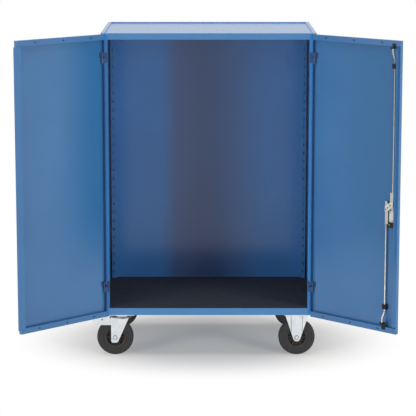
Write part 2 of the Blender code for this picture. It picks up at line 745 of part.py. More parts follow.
# Espagnolette, drawn on the shut door
def pinion_outline():
    """Involute teeth round the spindle, one of them centred on each rack."""
    base = PINION_RADIUS * math.cos(PRESSURE_ANGLE)
    half_tooth = (math.pi * TOOTH_MODULE / 2 - BACKLASH / 2) / 2 / PINION_RADIUS
    half_tooth += math.tan(PRESSURE_ANGLE) - PRESSURE_ANGLE
    flank = [(ROOT_RADIUS, half_tooth)]
    for i in range(FLANK_POINTS):
        radius = base + (TIP_RADIUS - base) * i / (FLANK_POINTS - 1)
        roll = math.acos(base / radius)
        flank.append((radius, half_tooth - math.tan(roll) + roll))
    outline = []
    for tooth in range(TEETH):
        centre = math.tau * tooth / TEETH
        for radius, angle in flank:
            outline.append((radius, centre - angle))
        for radius, angle in reversed(flank):
            outline.append((radius, centre + angle))
    return [(SPINDLE_U + r * math.cos(a), SPINDLE_Z + r * math.sin(a)) for r, a in outline]


def handle_spindle():
    """Spindle with the pinion inside and the lever's fork block and pin outside."""
    pinion_v = (RACK_LEVEL - PINION_FACE / 2, RACK_LEVEL + PINION_FACE / 2)
    spindle = prism(pinion_outline(), "y", *pinion_v)
    centre = (SPINDLE_U, SPINDLE_Z)
    join(spindle, rod(SPINDLE_RADIUS, "y", centre, BASE_FACE, RACK_LEVEL, ROUND_STEPS))
    head_u = (SPINDLE_U - HEAD_HALF_LENGTH, SPINDLE_U + HEAD_HALF_LENGTH)
    head_z = (SPINDLE_Z - HEAD_HALF_WIDTH, SPINDLE_Z + HEAD_HALF_WIDTH)
    join(spindle, box(head_u, (LEVER_AXIS - HEAD_REACH, BASE_FACE + SEAT), head_z))
    reach = LEVER_WIDTH / 2
    pin = rod(LEVER_PIN_RADIUS, "z", (SPINDLE_U, LEVER_AXIS), SPINDLE_Z - reach, SPINDLE_Z + reach)
    return join(spindle, pin)


def swing_lever():
    """Lever with a round heel on the lift pin, a slot for the fork block and a thinner tip."""
    outer = LEVER_AXIS - LEVER_HALF
    inner = LEVER_AXIS + LEVER_HALF
    heel = []
    for i in range(SMALL_STEPS // 2 + 1):
        angle = math.pi / 2 - math.pi * i / (SMALL_STEPS // 2)
        heel.append((SPINDLE_U + LEVER_HALF * math.cos(angle), LEVER_AXIS + LEVER_HALF * math.sin(angle)))
    tip = SPINDLE_U - LEVER_LENGTH
    outline = heel + [(tip + LEVER_TIP_CHAMFER, outer), (tip, outer + LEVER_TIP), (tip, inner)]
    z = (SPINDLE_Z - LEVER_WIDTH / 2, SPINDLE_Z + LEVER_WIDTH / 2)
    lever = prism(outline, "z", *z)
    half_slot = HEAD_HALF_WIDTH + HEAD_SLOT_CLEAR
    slot_u = (SPINDLE_U - HEAD_SLOT_REACH, SPINDLE_U + LEVER_HALF + OVERRUN)
    slot_v = (outer - OVERRUN, inner + OVERRUN)
    cut(lever, box(slot_u, slot_v, (SPINDLE_Z - half_slot, SPINDLE_Z + half_slot)))
    bore = around(LEVER_PIN_RADIUS + PIN_CLEARANCE, SMALL_STEPS)
    return cut(lever, rod(bore, "z", (SPINDLE_U, LEVER_AXIS), z[0] - OVERRUN, z[1] + OVERRUN))


def handle_base():
    """Long plate on the door's outside that carries the spindle and the lock plug."""
    u = (SPINDLE_U - BASE_WIDTH / 2, SPINDLE_U + BASE_WIDTH / 2)
    top = SPINDLE_Z + BASE_TOP
    v = (BASE_FACE, DOOR_OUTER - SEAT)
    low = top - BASE_LENGTH
    corner = BASE_CORNER
    outline = [
        (u[0] + corner, low),
        (u[1] - corner, low),
        (u[1], low + corner),
        (u[1], top - corner),
        (u[1] - corner, top),
        (u[0] + corner, top),
        (u[0], top - corner),
        (u[0], low + corner),
    ]
    base = prism(outline, "y", *v)
    through = (v[0] - OVERRUN, v[1] + OVERRUN)
    spindle = (SPINDLE_U, SPINDLE_Z)
    cut(base, rod(SPINDLE_RADIUS + SPINDLE_CLEARANCE, "y", spindle, *through, ROUND_STEPS))
    plug = (SPINDLE_U, SPINDLE_Z - PLUG_DROP)
    bore = around(PLUG_RADIUS + PLUG_CLEARANCE, ROUND_STEPS)
    return cut(base, rod(bore, "y", plug, *through, ROUND_STEPS))


def lock_plug():
    """Key plug, flush with the base, with its keyway."""
    centre = (SPINDLE_U, SPINDLE_Z - PLUG_DROP)
    inner_end = RETAINER_LEVEL - PLUG_SHORT
    plug = rod(PLUG_RADIUS, "y", centre, BASE_FACE + SEAT, inner_end, ROUND_STEPS)
    half = KEYWAY_LENGTH / 2
    key_u = (SPINDLE_U - KEYWAY_WIDTH / 2, SPINDLE_U + KEYWAY_WIDTH / 2)
    key_v = (BASE_FACE - OVERRUN, BASE_FACE + KEYWAY_DEPTH)
    return cut(plug, box(key_u, key_v, (centre[1] - half, centre[1] + half)))


def retainer():
    """Black block inside the door round the lock plug."""
    centre_u = SPINDLE_U + RETAINER_OFFSET
    u = (centre_u - RETAINER_WIDTH / 2, centre_u + RETAINER_WIDTH / 2)
    top = SPINDLE_Z - LOCK_BLOCK_TOP - LOCK_BLOCK_HEIGHT - SEAT
    block = box(u, (DOOR_SKIN_IN + SEAT, RETAINER_LEVEL), (top - RETAINER_HEIGHT, top))
    centre = (SPINDLE_U, SPINDLE_Z - PLUG_DROP)
    bore = around(PLUG_RADIUS + PLUG_CLEARANCE, ROUND_STEPS)
    inner_end = RETAINER_LEVEL - PLUG_END
    return cut(block, rod(bore, "y", centre, DOOR_SKIN_IN - OVERRUN, inner_end, ROUND_STEPS))


def lock_block():
    """Grey casting between the gear and the lock."""
    low = SPINDLE_Z - LOCK_BLOCK_TOP - LOCK_BLOCK_HEIGHT
    centre_u = SPINDLE_U + LOCK_BLOCK_OFFSET
    u = (centre_u - LOCK_BLOCK_WIDTH / 2, centre_u + LOCK_BLOCK_WIDTH / 2)
    return box(u, (DOOR_SKIN_IN + SEAT, -LOCK_BLOCK_LEVEL), (low, low + LOCK_BLOCK_HEIGHT))


def rack_cover():
    """Slanted plate over the pinion on two posts."""
    inner = RACK_LEVEL + RACK_THICKNESS / 2 + COVER_CLEAR
    tall, wide = COVER_HALF_HEIGHT, RACK_OUTER
    corners = [(COVER_SHOULDER, tall), (wide, tall), (wide, 0)]
    corners += [(-u, -z) for u, z in corners]
    outline = [(SPINDLE_U + u, SPINDLE_Z + z) for u, z in corners]
    cover = prism(outline, "y", inner, inner + COVER_SHEET)
    for way in (-1, 1):
        centre = (SPINDLE_U + way * POST_OFFSET, SPINDLE_Z + way * POST_HEIGHT)
        join(cover, rod(POST_RADIUS, "y", centre, DOOR_SKIN_IN + SEAT, inner + COVER_SHEET / 2))
    return cover


def rack_outline(way):
    """Flat bar with teeth towards the pinion; way is 1 for the free-edge side, -1 for the other."""
    pitch = math.pi * TOOTH_MODULE
    slope = math.tan(PRESSURE_ANGLE)
    reach = ADDENDUM_SHARE * TOOTH_MODULE
    half_pitch_line = (pitch / 2 - BACKLASH / 2) / 2
    half_tip = half_pitch_line - reach * slope
    half_root = half_pitch_line + DEDENDUM_SHARE * TOOTH_MODULE * slope
    head = UPPER_RACK_HEAD if way > 0 else LOWER_RACK_HEAD
    outline = [(RACK_OUTER, -RACK_TAIL), (RACK_OUTER, head), (RACK_INNER, head)]
    for k in range(RACK_TEETH):
        centre = pitch * (RACK_FIRST_SHARE - k)
        outline.append((RACK_INNER, centre + half_root))
        outline.append((PINION_RADIUS - reach, centre + half_tip))
        outline.append((PINION_RADIUS - reach, centre - half_tip))
        outline.append((RACK_INNER, centre - half_root))
    outline.append((RACK_INNER, -RACK_TAIL))
    return [(SPINDLE_U + way * u, SPINDLE_Z + way * z) for u, z in outline]


def locking_rod(name):
    """Rack bar with its round rod, which steps out over the door's lip at the end."""
    way = 1 if name == "upper" else -1
    half = RACK_THICKNESS / 2
    bar = prism(rack_outline(way), "y", RACK_LEVEL - half, RACK_LEVEL + half)
    head = UPPER_RACK_HEAD if way > 0 else LOWER_RACK_HEAD
    end = ROD_END_Z[name]
    u = ROD_U[name]
    path = [
        (u, RACK_LEVEL, SPINDLE_Z + way * (head - ROD_RACK_OVERLAP)),
        (u, RACK_LEVEL, end - way * (ROD_STRAIGHT_END + ROD_BEND)),
        (u, ROD_END_LEVEL, end - way * ROD_STRAIGHT_END),
        (u, ROD_END_LEVEL, end),
    ]
    return join(bar, swept(path, ROD_RADIUS))


def rod_guide(name):
    """Plastic guide on the door's skin that the rod slides through."""
    centre = DOOR_HIGH - UPPER_GUIDE_DROP if name == "upper" else DOOR_LOW + LOWER_GUIDE_RISE
    u = ROD_U[name]
    cap = RACK_LEVEL + ROD_RADIUS + GUIDE_CAP
    wide = (u - GUIDE_HALF, u + GUIDE_HALF)
    tall = (centre - GUIDE_HALF, centre + GUIDE_HALF)
    guide = box(wide, (DOOR_SKIN_IN + SEAT, cap), tall)
    join(guide, rod(GUIDE_SCREW_RADIUS, "y", (u, centre), cap - GUIDE_CAP / 2, cap + GUIDE_SCREW_HEAD))
    bore = around(ROD_RADIUS + ROD_CLEARANCE, SMALL_STEPS)
    span = (centre - GUIDE_HALF - OVERRUN, centre + GUIDE_HALF + OVERRUN)
    return cut(guide, rod(bore, "z", (u, RACK_LEVEL), *span))


def rod_end_guide(name):
    """Plastic eye for the rod's end, on a tongue that is riveted to the door's lip."""
    u = ROD_U[name]
    near = HINGE_RIM + SEAT
    far = ROD_END_LEVEL + ROD_RADIUS + END_GUIDE_WALL
    end = ROD_END_Z[name]
    if name == "upper":
        block = (end - END_GUIDE_BLOCK, end)
        tongue = (block[0], end + END_GUIDE_REACH)
    else:
        block = (end, end + END_GUIDE_BLOCK)
        tongue = (DOOR_LOW + DOOR_LIP / 2, block[1])
    wide = (u - END_GUIDE_HALF, u + END_GUIDE_HALF)
    guide = box(wide, (near, far), block)
    join(guide, box(wide, (near, near + END_GUIDE_TONGUE), tongue))
    bore = around(ROD_RADIUS + ROD_CLEARANCE, SMALL_STEPS)
    span = (block[0] - OVERRUN, block[1] + OVERRUN)
    return cut(guide, rod(bore, "z", (u, ROD_END_LEVEL), *span))


# Castors, drawn round x = 0, y = 0
def castor_plate_blank():
    """Top plate with four bolt holes."""
    half_x, half_y = CASTOR_PLATE_LENGTH / 2, CASTOR_PLATE_WIDTH / 2
    plate = box((-half_x, half_x), (-half_y, half_y), (PLATE_UNDER, PLATE_TOP))
    for x in (-half_x + PLATE_HOLE_INSET, half_x - PLATE_HOLE_INSET):
        for y in (-half_y + PLATE_HOLE_INSET, half_y - PLATE_HOLE_INSET):
            cut(plate, rod(PLATE_HOLE_RADIUS, "z", (x, y), PLATE_UNDER - OVERRUN, PLATE_TOP + OVERRUN))
    return plate


def swivel_levels():
    """Heights of the race, crown and king pin, from the plate down."""
    race_low = PLATE_UNDER - RACE_HEIGHT
    fork_top = race_low - SEAT
    crown_top = fork_top - RACE_HEIGHT
    crown_low = crown_top - CROWN_SHEET
    return race_low, fork_top, crown_top, crown_low


def swivel_plate():
    """Plate with the upper ball race and the riveted king pin."""
    race_low, _, _, crown_low = swivel_levels()
    plate = castor_plate_blank()
    head_top = crown_low - SEAT
    profile = [
        (0, head_top - KING_PIN_HEAD),
        (KING_PIN_HEAD_RADIUS, head_top - KING_PIN_HEAD),
        (KING_PIN_HEAD_RADIUS, head_top),
        (KING_PIN_RADIUS, head_top),
        (KING_PIN_RADIUS, race_low),
        (RACE_RADIUS - RACE_CHAMFER, race_low),
        (RACE_RADIUS, race_low + RACE_CHAMFER),
        (RACE_RADIUS, PLATE_UNDER + CASTOR_PLATE / 2),
        (0, PLATE_UNDER + CASTOR_PLATE / 2),
    ]
    return join(plate, upright_turned(profile, ROUND_STEPS))


def cheek_hole():
    """Bore for the axle through both cheeks."""
    reach = CHEEK_INSIDE + CHEEK_SHEET + OVERRUN
    bore = around(AXLE_RADIUS + AXLE_CLEARANCE, SMALL_STEPS)
    return rod(bore, "y", (-TRAIL, WHEEL_RADIUS), -reach, reach)


def swivel_fork():
    """Pressed fork: lower race, crown, two cheeks and the pedal's pivot stubs."""
    _, fork_top, crown_top, crown_low = swivel_levels()
    foot = WHEEL_RADIUS - FORK_FOOT_DROP
    toe = -FORK_TRAIL_EDGE + FORK_FOOT_WIDTH
    cheek = [
        (-FORK_TRAIL_EDGE, crown_top),
        (-FORK_TRAIL_EDGE, foot + FORK_FOOT_CHAMFER),
        (-FORK_TRAIL_EDGE + FORK_FOOT_CHAMFER, foot),
        (toe - FORK_FOOT_CHAMFER, foot),
        (toe, foot + FORK_FOOT_CHAMFER),
        (FORK_LEAD_EDGE, crown_low),
        (FORK_LEAD_EDGE, crown_top),
    ]
    outside = CHEEK_INSIDE + CHEEK_SHEET
    fork = prism(cheek, "y", -outside, outside)
    hollow = (-FORK_TRAIL_EDGE - OVERRUN, FORK_LEAD_EDGE + OVERRUN)
    cut(fork, box(hollow, (-CHEEK_INSIDE, CHEEK_INSIDE), (foot - OVERRUN, crown_low)))
    race = [
        (0, crown_low + CROWN_SHEET / 2),
        (RACE_RADIUS, crown_low + CROWN_SHEET / 2),
        (RACE_RADIUS, fork_top - RACE_CHAMFER),
        (RACE_RADIUS - RACE_CHAMFER, fork_top),
        (0, fork_top),
    ]
    join(fork, upright_turned(race, ROUND_STEPS))
    stub_end = outside + SEAT + PEDAL_SHEET + SEAT
    pivot = (-PEDAL_PIVOT_X, WHEEL_RADIUS + PEDAL_PIVOT_RISE)
    join(fork, rod(PEDAL_PIVOT_RADIUS, "y", pivot, CHEEK_INSIDE, stub_end))
    join(fork, rod(PEDAL_PIVOT_RADIUS, "y", pivot, -stub_end, -CHEEK_INSIDE))
    bore = around(KING_PIN_RADIUS + KING_PIN_CLEARANCE, ROUND_STEPS)
    cut(fork, rod(bore, "z", (0, 0), crown_low - OVERRUN, fork_top + OVERRUN, ROUND_STEPS))
    return cut(fork, cheek_hole())


def brake_pedal():
    """Stirrup outside the fork: two side arms under a sloped hood and a tread beyond the wheel."""
    inside = CHEEK_INSIDE + CHEEK_SHEET + SEAT
    outside = inside + PEDAL_SHEET
    middle = WHEEL_RADIUS + PEDAL_PIVOT_RISE
    heel = -PEDAL_PIVOT_X + PEDAL_HEEL
    arm = [
        (heel, middle - PEDAL_HALF_HEIGHT),
        (heel, middle + PEDAL_HALF_HEIGHT),
        (-PEDAL_HOOD_START, middle + PEDAL_HOOD_RISE),
        (-PEDAL_HOOD_END, middle + PEDAL_HALF_HEIGHT),
        (-PEDAL_END, middle + PEDAL_END_HALF),
        (-PEDAL_END, middle - PEDAL_END_HALF),
        (-PEDAL_TREAD_START, middle - PEDAL_HALF_HEIGHT),
    ]
    pedal = prism(arm, "y", -outside, outside)
    tread_in = -(TRAIL + WHEEL_RADIUS + PEDAL_WHEEL_GAP)
    hood_top = middle + PEDAL_HOOD_RISE - PEDAL_SHEET
    hollow = [
        (tread_in, WHEEL_RADIUS),
        (heel + OVERRUN, WHEEL_RADIUS),
        (heel + OVERRUN, TOP),
        (-PEDAL_HOOD_START, TOP),
        (-PEDAL_HOOD_START, hood_top),
        (tread_in, middle + PEDAL_HALF_HEIGHT - PEDAL_SHEET),
    ]
    cut(pedal, prism(hollow, "y", -inside, inside))
    under = (WHEEL_RADIUS, middle + PEDAL_END_HALF - PEDAL_SHEET)
    cut(pedal, box((-PEDAL_END + PEDAL_SHEET, tread_in + OVERRUN), (-inside, inside), under))
    reach = outside + OVERRUN
    pivot = (-PEDAL_PIVOT_X, middle)
    bore = around(PEDAL_PIVOT_RADIUS + PIN_CLEARANCE, SMALL_STEPS)
    return cut(pedal, rod(bore, "y", pivot, -reach, reach))


def fixed_bracket():
    """Plate with two tapered cheeks."""
    bracket = castor_plate_blank()
    foot = WHEEL_RADIUS - BRACKET_FOOT_DROP
    toe = WHEEL_RADIUS - BRACKET_TOE_DROP
    top = PLATE_UNDER + CASTOR_PLATE / 2
    half = [
        (BRACKET_TOP_HALF, top),
        (BRACKET_TOP_HALF, PLATE_UNDER - CASTOR_PLATE),
        (BRACKET_FOOT_HALF, foot),
        (BRACKET_TOE_HALF, toe),
    ]
    outline = half + [(-x, z) for x, z in reversed(half)]
    for way in (-1, 1):
        faces = sorted((way * CHEEK_INSIDE, way * (CHEEK_INSIDE + CHEEK_SHEET)))
        join(bracket, prism(outline, "y", *faces))
    hole = cheek_hole()
    hole.data.transform(Matrix.Translation((TRAIL, 0, 0)))
    return cut(bracket, hole)


def axle():
    """Bolt and nut through the cheeks, drawn round the wheel's centre."""
    face = CHEEK_INSIDE + CHEEK_SHEET + SEAT
    bolt = rod(AXLE_RADIUS, "y", (0, 0), -face - SEAT, face + SEAT)
    join(bolt, rod(AXLE_HEAD_RADIUS, "y", (0, 0), face, face + AXLE_HEAD, HEX_STEPS))
    return join(bolt, rod(AXLE_HEAD_RADIUS, "y", (0, 0), -face - AXLE_HEAD, -face, HEX_STEPS))


def rim():
    """Ribbed wheel centre with its bore, drawn round the wheel's centre."""
    hub = CHEEK_INSIDE - SEAT
    ring = RIM_RADIUS - RIM_WALL
    web = WEB_THICKNESS / 2
    wide = RIM_WIDTH / 2
    half = [(0, hub), (HUB_RADIUS, hub), (HUB_RADIUS, web), (ring, web), (ring, wide), (RIM_RADIUS, wide)]
    profile = half + [(r, -y) for r, y in reversed(half)]
    centre = turned(profile, (0, 0, 0), FINE_STEPS)
    for i in range(RIB_COUNT):
        reach = RIM_RADIUS - RIM_WALL / 2
        x = (-reach, reach)
        y = (-RIB_WIDTH / 2, RIB_WIDTH / 2)
        rib = box(x, y, (-RIB_THICKNESS / 2, RIB_THICKNESS / 2))
        rib.data.transform(Matrix.Rotation(math.pi * i / RIB_COUNT, 4, "Y"))
        join(centre, rib)
    bore = around(AXLE_RADIUS + AXLE_CLEARANCE, SMALL_STEPS)
    return cut(centre, rod(bore, "y", (0, 0), -hub - OVERRUN, hub + OVERRUN))


def tyre():
    """Solid rubber tyre, drawn round the wheel's centre."""
    inner = around(RIM_RADIUS + SEAT, FINE_STEPS)
    half = TYRE_WIDTH / 2
    side = [
        (inner, RIM_WIDTH / 2),
        (inner + TYRE_CROWN, half),
        (WHEEL_RADIUS - TYRE_SHOULDER, half),
        (WHEEL_RADIUS - TYRE_SHOULDER / 4, half - TYRE_CROWN),
        (WHEEL_RADIUS, half - TYRE_SHOULDER),
    ]
    profile = side + [(r, -y) for r, y in reversed(side)]
    return turned(profile, (0, 0, 0), FINE_STEPS)


# Assembly
def build_cabinet(root, looks):
    """Sheet work, uprights, mat and castor channels."""
    finish(top_panel(), "top_panel", looks["light_blue"], root)
    finish(floor_tray(), "floor_tray", looks["blue"], root)
    finish(back_panel(), "back_panel", looks["blue"], root)
    finish(rubber_mat(), "rubber_mat", looks["mat"], root)
    for label, side in SIDES.items():
        finish(mirrored(side_panel(), side), label + "_side_panel", looks["blue"], root)
        finish(mirrored(rear_upright(), side), "rear_" + label + "_slotted_upright", looks["blue"], root)
        finish(mirrored(front_upright(), side), "front_" + label + "_slotted_upright", looks["blue"], root)
        centre = FIXED_X if side == RIGHT_SIDE else SWIVEL_X
        finish(mirrored(castor_channel(centre), side), label + "_castor_channel", looks["blue"], root)


def build_hinges(label, root, door, looks):
    """The two hinges of one door: frame leaf and pin on the cabinet, the other leaf on the door."""
    side = SIDES[label]
    axis = (side * HINGE_X, HINGE_Y, 0)
    for level, height in HINGE_CENTRES.items():
        name = label + "_" + level + "_hinge"
        frame_leaf = mirrored(hinge_frame_leaf(height), -side)
        finish(frame_leaf, name + "_frame_leaf", looks["hinge"], root).location = axis
        finish(hinge_pin(height), name + "_pin", looks["zinc"], root).location = axis
        finish(mirrored(hinge_door_leaf(height), -side), name + "_door_leaf", looks["blue"], door)


def build_lock(door, looks):
    """Espagnolette, rods, guides and handle on the right door."""
    spindle = (-SPINDLE_U, 0, SPINDLE_Z)
    plug = (-SPINDLE_U, 0, SPINDLE_Z - PLUG_DROP)
    lift = (-SPINDLE_U, LEVER_AXIS, SPINDLE_Z)
    finish(on_right_door(handle_base()), "handle_base", looks["black"], door)
    finish(on_right_door(rack_cover()), "rack_cover", looks["cast"], door)
    finish(on_right_door(lock_block()), "lock_block", looks["cast"], door)
    finish(on_right_door(retainer()), "lock_retainer", looks["black"], door)
    finish(on_right_door(handle_spindle()), "handle_spindle", looks["cast"], door, spindle)
    finish(on_right_door(swing_lever()), "swing_lever", looks["black"], door, lift)
    finish(on_right_door(lock_plug()), "lock_plug", looks["brass"], door, plug)
    for level in ROD_U:
        track = (-ROD_U[level], RACK_LEVEL, SPINDLE_Z)
        finish(on_right_door(locking_rod(level)), level + "_locking_rod", looks["steel"], door, track)
        finish(on_right_door(rod_guide(level)), level + "_rod_guide", looks["black"], door)
        finish(on_right_door(rod_end_guide(level)), level + "_rod_end_guide", looks["black"], door)


def build_doors(root, looks):
    """Both doors on empties that stand on the hinge axes, swung open."""
    for label, side in SIDES.items():
        axis = (side * HINGE_X, HINGE_Y, 0)
        door = guide_point(label + "_door_axis", root, axis, side * DOOR_OPEN)
        pan = door_panel()
        if side == RIGHT_SIDE:
            right_door_holes(pan)
            build_lock(door, looks)
        else:
            finish(overlap_strip(), "door_overlap_strip", looks["blue"], door)
        finish(mirrored(pan, -side), label + "_door_panel", looks["blue"], door)
        build_hinges(label, root, door, looks)


def build_wheel(name, root, looks, centre):
    """Axle, rim and tyre at a wheel's centre."""
    for piece, maker, look in (("axle", axle, "zinc"), ("rim", rim, "rim"), ("tyre", tyre, "tyre")):
        finish(maker(), name + "_" + piece, looks[look], root).location = centre


def build_castors(root, looks):
    """Two swivel castors with brakes on the left, two fixed ones on the right."""
    for row, y in CASTOR_Y.items():
        swivel = (-SWIVEL_X, y, 0)
        name = row + "_swivel_castor"
        finish(swivel_plate(), name + "_plate", looks["zinc"], root).location = swivel
        finish(swivel_fork(), name + "_fork", looks["zinc"], root).location = swivel
        pivot = Vector((-PEDAL_PIVOT_X, 0, WHEEL_RADIUS + PEDAL_PIVOT_RISE))
        pedal = finish(brake_pedal(), name + "_brake_pedal", looks["zinc"], root, pivot)
        pedal.location = pivot + Vector(swivel)
        build_wheel(name, root, looks, (-SWIVEL_X - TRAIL, y, WHEEL_RADIUS))
        name = row + "_fixed_castor"
        finish(fixed_bracket(), name + "_bracket", looks["zinc"], root).location = (FIXED_X, y, 0)
        build_wheel(name, root, looks, (FIXED_X, y, WHEEL_RADIUS))


def front_reach():
    """How far the open doors stand out in front of the cabinet's face."""
    sine, cosine = math.sin(DOOR_OPEN), math.cos(DOOR_OPEN)
    strip_out = HINGE_RIM + SEAT + STRIP_SHEET
    edge = (DOOR_FREE + STRIP_REACH) * sine - strip_out * cosine
    return edge - HINGE_Y


def main():
    for thing in list(bpy.data.objects):
        bpy.data.objects.remove(thing, do_unlink=True)
    looks = materials()
    middle = (BODY_DEPTH - front_reach()) / 2
    root = guide_point("trolley", None, (0, -middle, 0))
    build_cabinet(root, looks)
    build_doors(root, looks)
    build_castors(root, looks)


main()
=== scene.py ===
# Looks of the cupboard trolley: finishes, fine pieces, floor, light and camera
import math

import bmesh
import bpy
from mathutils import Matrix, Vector

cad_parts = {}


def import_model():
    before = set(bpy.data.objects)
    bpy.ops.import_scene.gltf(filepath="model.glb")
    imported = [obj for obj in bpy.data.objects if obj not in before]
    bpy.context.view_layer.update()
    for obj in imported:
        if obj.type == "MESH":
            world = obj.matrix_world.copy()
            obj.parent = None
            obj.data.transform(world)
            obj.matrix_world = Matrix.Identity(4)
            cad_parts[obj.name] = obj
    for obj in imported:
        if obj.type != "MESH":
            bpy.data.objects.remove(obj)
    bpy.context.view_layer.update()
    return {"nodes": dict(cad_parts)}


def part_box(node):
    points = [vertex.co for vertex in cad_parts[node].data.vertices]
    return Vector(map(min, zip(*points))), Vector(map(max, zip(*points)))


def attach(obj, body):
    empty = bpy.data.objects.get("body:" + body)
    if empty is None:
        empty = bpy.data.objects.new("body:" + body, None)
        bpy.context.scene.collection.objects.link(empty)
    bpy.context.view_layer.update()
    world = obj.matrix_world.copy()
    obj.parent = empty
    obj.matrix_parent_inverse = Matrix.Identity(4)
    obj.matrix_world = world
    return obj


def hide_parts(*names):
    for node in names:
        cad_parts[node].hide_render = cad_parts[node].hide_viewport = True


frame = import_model()
nodes = frame["nodes"]

MM = 0.001

# Edges sharper than SHARP get a soft bevel on the solids and split the shading of the fine pieces.
# Points closer than a reach, in metres, become one.
SHARP = math.radians(35)
SOFT_EDGE = 0.4 * MM
SOFT_EDGE_SEGMENTS = 2
WELD_REACH = 0.00001
MERGE_REACH = 0.001 * MM

# Directions, and each door's frame: hinge corner, way to the free edge, way in when shut
X = Vector((1, 0, 0))
Y = Vector((0, 1, 0))
Z = Vector((0, 0, 1))
ORIGIN = Vector((0, 0, 0))
HINGE_CORNER = Vector((0.566, -0.186626, 0))
DOOR_ALONG = Vector((0.7431448, -0.6691306, 0))
DOOR_IN = Vector((-0.6691306, -0.7431448, 0))
FLIP = Vector((-1, 1, 1))
DOORS = {
    "right_door": (HINGE_CORNER, DOOR_ALONG, DOOR_IN),
    "left_door": (HINGE_CORNER * FLIP, DOOR_ALONG * FLIP, DOOR_IN * FLIP),
}

# Finishes. A noise is its scale per metre and its detail. Over its band the darker colour turns
# to the full one. Roughness strays this far below and above its value, over NOISE_BAND.
NOISE_BAND = (0.3, 0.7)
TONE_BAND = (0.35, 0.65)
COAT = {
    "tone": (3.5, 4.0), "band": TONE_BAND,
    "gloss": (22.0, 5.0), "strays": (0.04, 0.05), "specular": 0.5,
}
METAL = {
    "tone": (38.0, 5.0), "band": NOISE_BAND,
    "gloss": (90.0, 4.0), "strays": (0.07, 0.08), "specular": 0.5,
}
MOULD = {
    "tone": (30.0, 5.0), "band": TONE_BAND,
    "gloss": (60.0, 3.0), "strays": (0.06, 0.06), "specular": 0.3,
}
EVEN = (1, 1, 1)
LONG_GRAIN = (1, 1, 0.08)
SATIN = 0.2
RING_BAND = (0.1, 0.6)
RING_SCALE = 30.0
RING_DISTORTION = 0.4

# Relief in the finishes: scale and detail of its noise, depth in metres, strength. The scale of a
# moulded grain differs from one material to another.
COAT_WAVES = (420.0, 2.0, 0.00006, 0.5)
COAT_GRAIN = (2600.0, 2.0, 0.00001, 0.4)
METAL_GRAIN = (700.0, 3.0, 0.00002, 0.5)
MOULD_GRAIN = (2.0, 0.00003, 0.6)
MOULD_GRAIN_SCALE = 1500.0
TYRE_GRAIN_SCALE = 1400.0
MAT_GRAIN_SCALE = 2200.0
RIM_GRAIN_SCALE = 900.0

# Where a second finish goes: how straight a face has to look one way, and how near it has to lie
FACING = 0.9
FACE_SLACK = 1 * MM
HINGE_WALL_DEPTH = 12 * MM
LID_RIM_REACH = 60 * MM
RACE_FOOT = 211.5 * MM

# Castors, in millimetres: places of axles and plates, and half the spacing of a plate's bolts
AXLE_HEIGHT = 100.0
CASTOR_ROWS = {"front": -108.126, "rear": 491.874}
SWIVEL_WHEEL_X = -513.0
SWIVEL_PLATE_X = -475.0
FIXED_WHEEL_X = 484.0
BOLT_SPACING = (52.5, 37.5)

# Profiles in millimetres: radius and height, or the two sides of a section
TYRE_HALF = (
    (56.5, 21.5), (59.0, 24.6), (65.0, 26.2), (66.0, 24.4), (68.4, 24.4), (69.4, 26.4),
    (81.0, 25.8), (82.0, 23.4), (84.6, 23.4), (85.6, 24.8), (92.0, 22.6), (96.5, 19.0),
    (99.2, 14.5), (100.0, 11.0), (100.0, 7.2), (98.4, 6.4), (98.4, 4.8), (100.0, 4.0),
)
BOLT_HEAD = ((0.0, 229.6), (5.4, 229.6), (5.4, 226.6), (4.4, 225.8), (0.0, 225.8))
AXLE_WASHER = ((9.9, 32.05), (12.6, 32.05), (12.6, 33.2), (12.0, 33.8), (9.9, 33.8))
PEDAL_RIVET = ((0.0, 35.2), (3.8, 35.2), (3.8, 36.0), (3.0, 36.6), (0.0, 36.6))
TYRE_STEPS = 72
SMALL_STEPS = 24

# Ribs on a bracket's cheek: outline, and how far out they start and end
CREASE = ((30.2, 223.0), (32.6, 223.0), (30.8, 134.0), (28.4, 134.0))
CREASE_SPAN = (31.9, 33.0)

# Rivets on a pedal's arms: distance from the plate's middle, height
PEDAL_RIVETS = ((-63.5, 213.0), (-108.0, 201.5))

# Mat strips: front and rear, left and right; the first three leave a notch for the rod's end
MAT_STRIPS = (
    (-170.126, -125.526, -538.7, 75.5), (-170.126, -125.526, 87.5, 538.7),
    (-156.626, -125.526, 75.5, 87.5), (-125.526, 544.274, -572.9, 572.9),
    (544.274, 574.574, -539.7, 539.7),
)
# Heights of its underside, grooves and ribs; a rib's foot, and its top's start and end, as shares
# of the pitch
MAT_LEVELS = (270.3, 275.0, 276.3)
MAT_PITCH = 6.2
MAT_RIB = (0.3, 0.4, 0.9)

# Lock pieces in the right door's frame, in millimetres
UPPER_STRIP = (
    (510.5, 4.7), (519.4, 4.7), (519.4, 3.9), (528.5, 3.9), (528.5, 5.3), (519.9, 5.3),
    (519.9, 4.95), (519.1, 4.95), (519.1, 5.3), (510.5, 5.3),
)
LOWER_STRIP = (
    (498.5, 4.7), (489.6, 4.7), (489.6, 3.9), (480.5, 3.9), (480.5, 5.3), (489.1, 5.3),
    (489.1, 4.95), (489.9, 4.95), (489.9, 5.3), (498.5, 5.3),
)
FACE_STRIPS = {
    "upper_rod": (UPPER_STRIP, (924.0, 979.0)),
    "lower_rod": (LOWER_STRIP, (812.0, 884.0)),
}
# Painted shade: a black strip on the skin under the door's lip beside the lock, where that gap
# lies in deep shade
SHADE_STRIP = (
    (529.5, -8.2), (541.0, -8.2), (541.0, -2.0), (539.5, -0.5), (531.0, -0.5), (529.5, -2.0),
)
SHADE_STRIP_SPAN = (898.0, 991.0)
COVER_SCREWS = ((511.9, 911.4), (498.2, 898.5), (485.7, 888.7))
COVER_SCREW = (
    (0.0, 7.9), (3.6, 7.9), (3.6, 8.9), (3.0, 9.6), (1.2, 9.6), (1.2, 8.9), (0.0, 8.9),
)
BLOCK_SCREWS = ((506.0, 874.0), (522.0, 830.0))
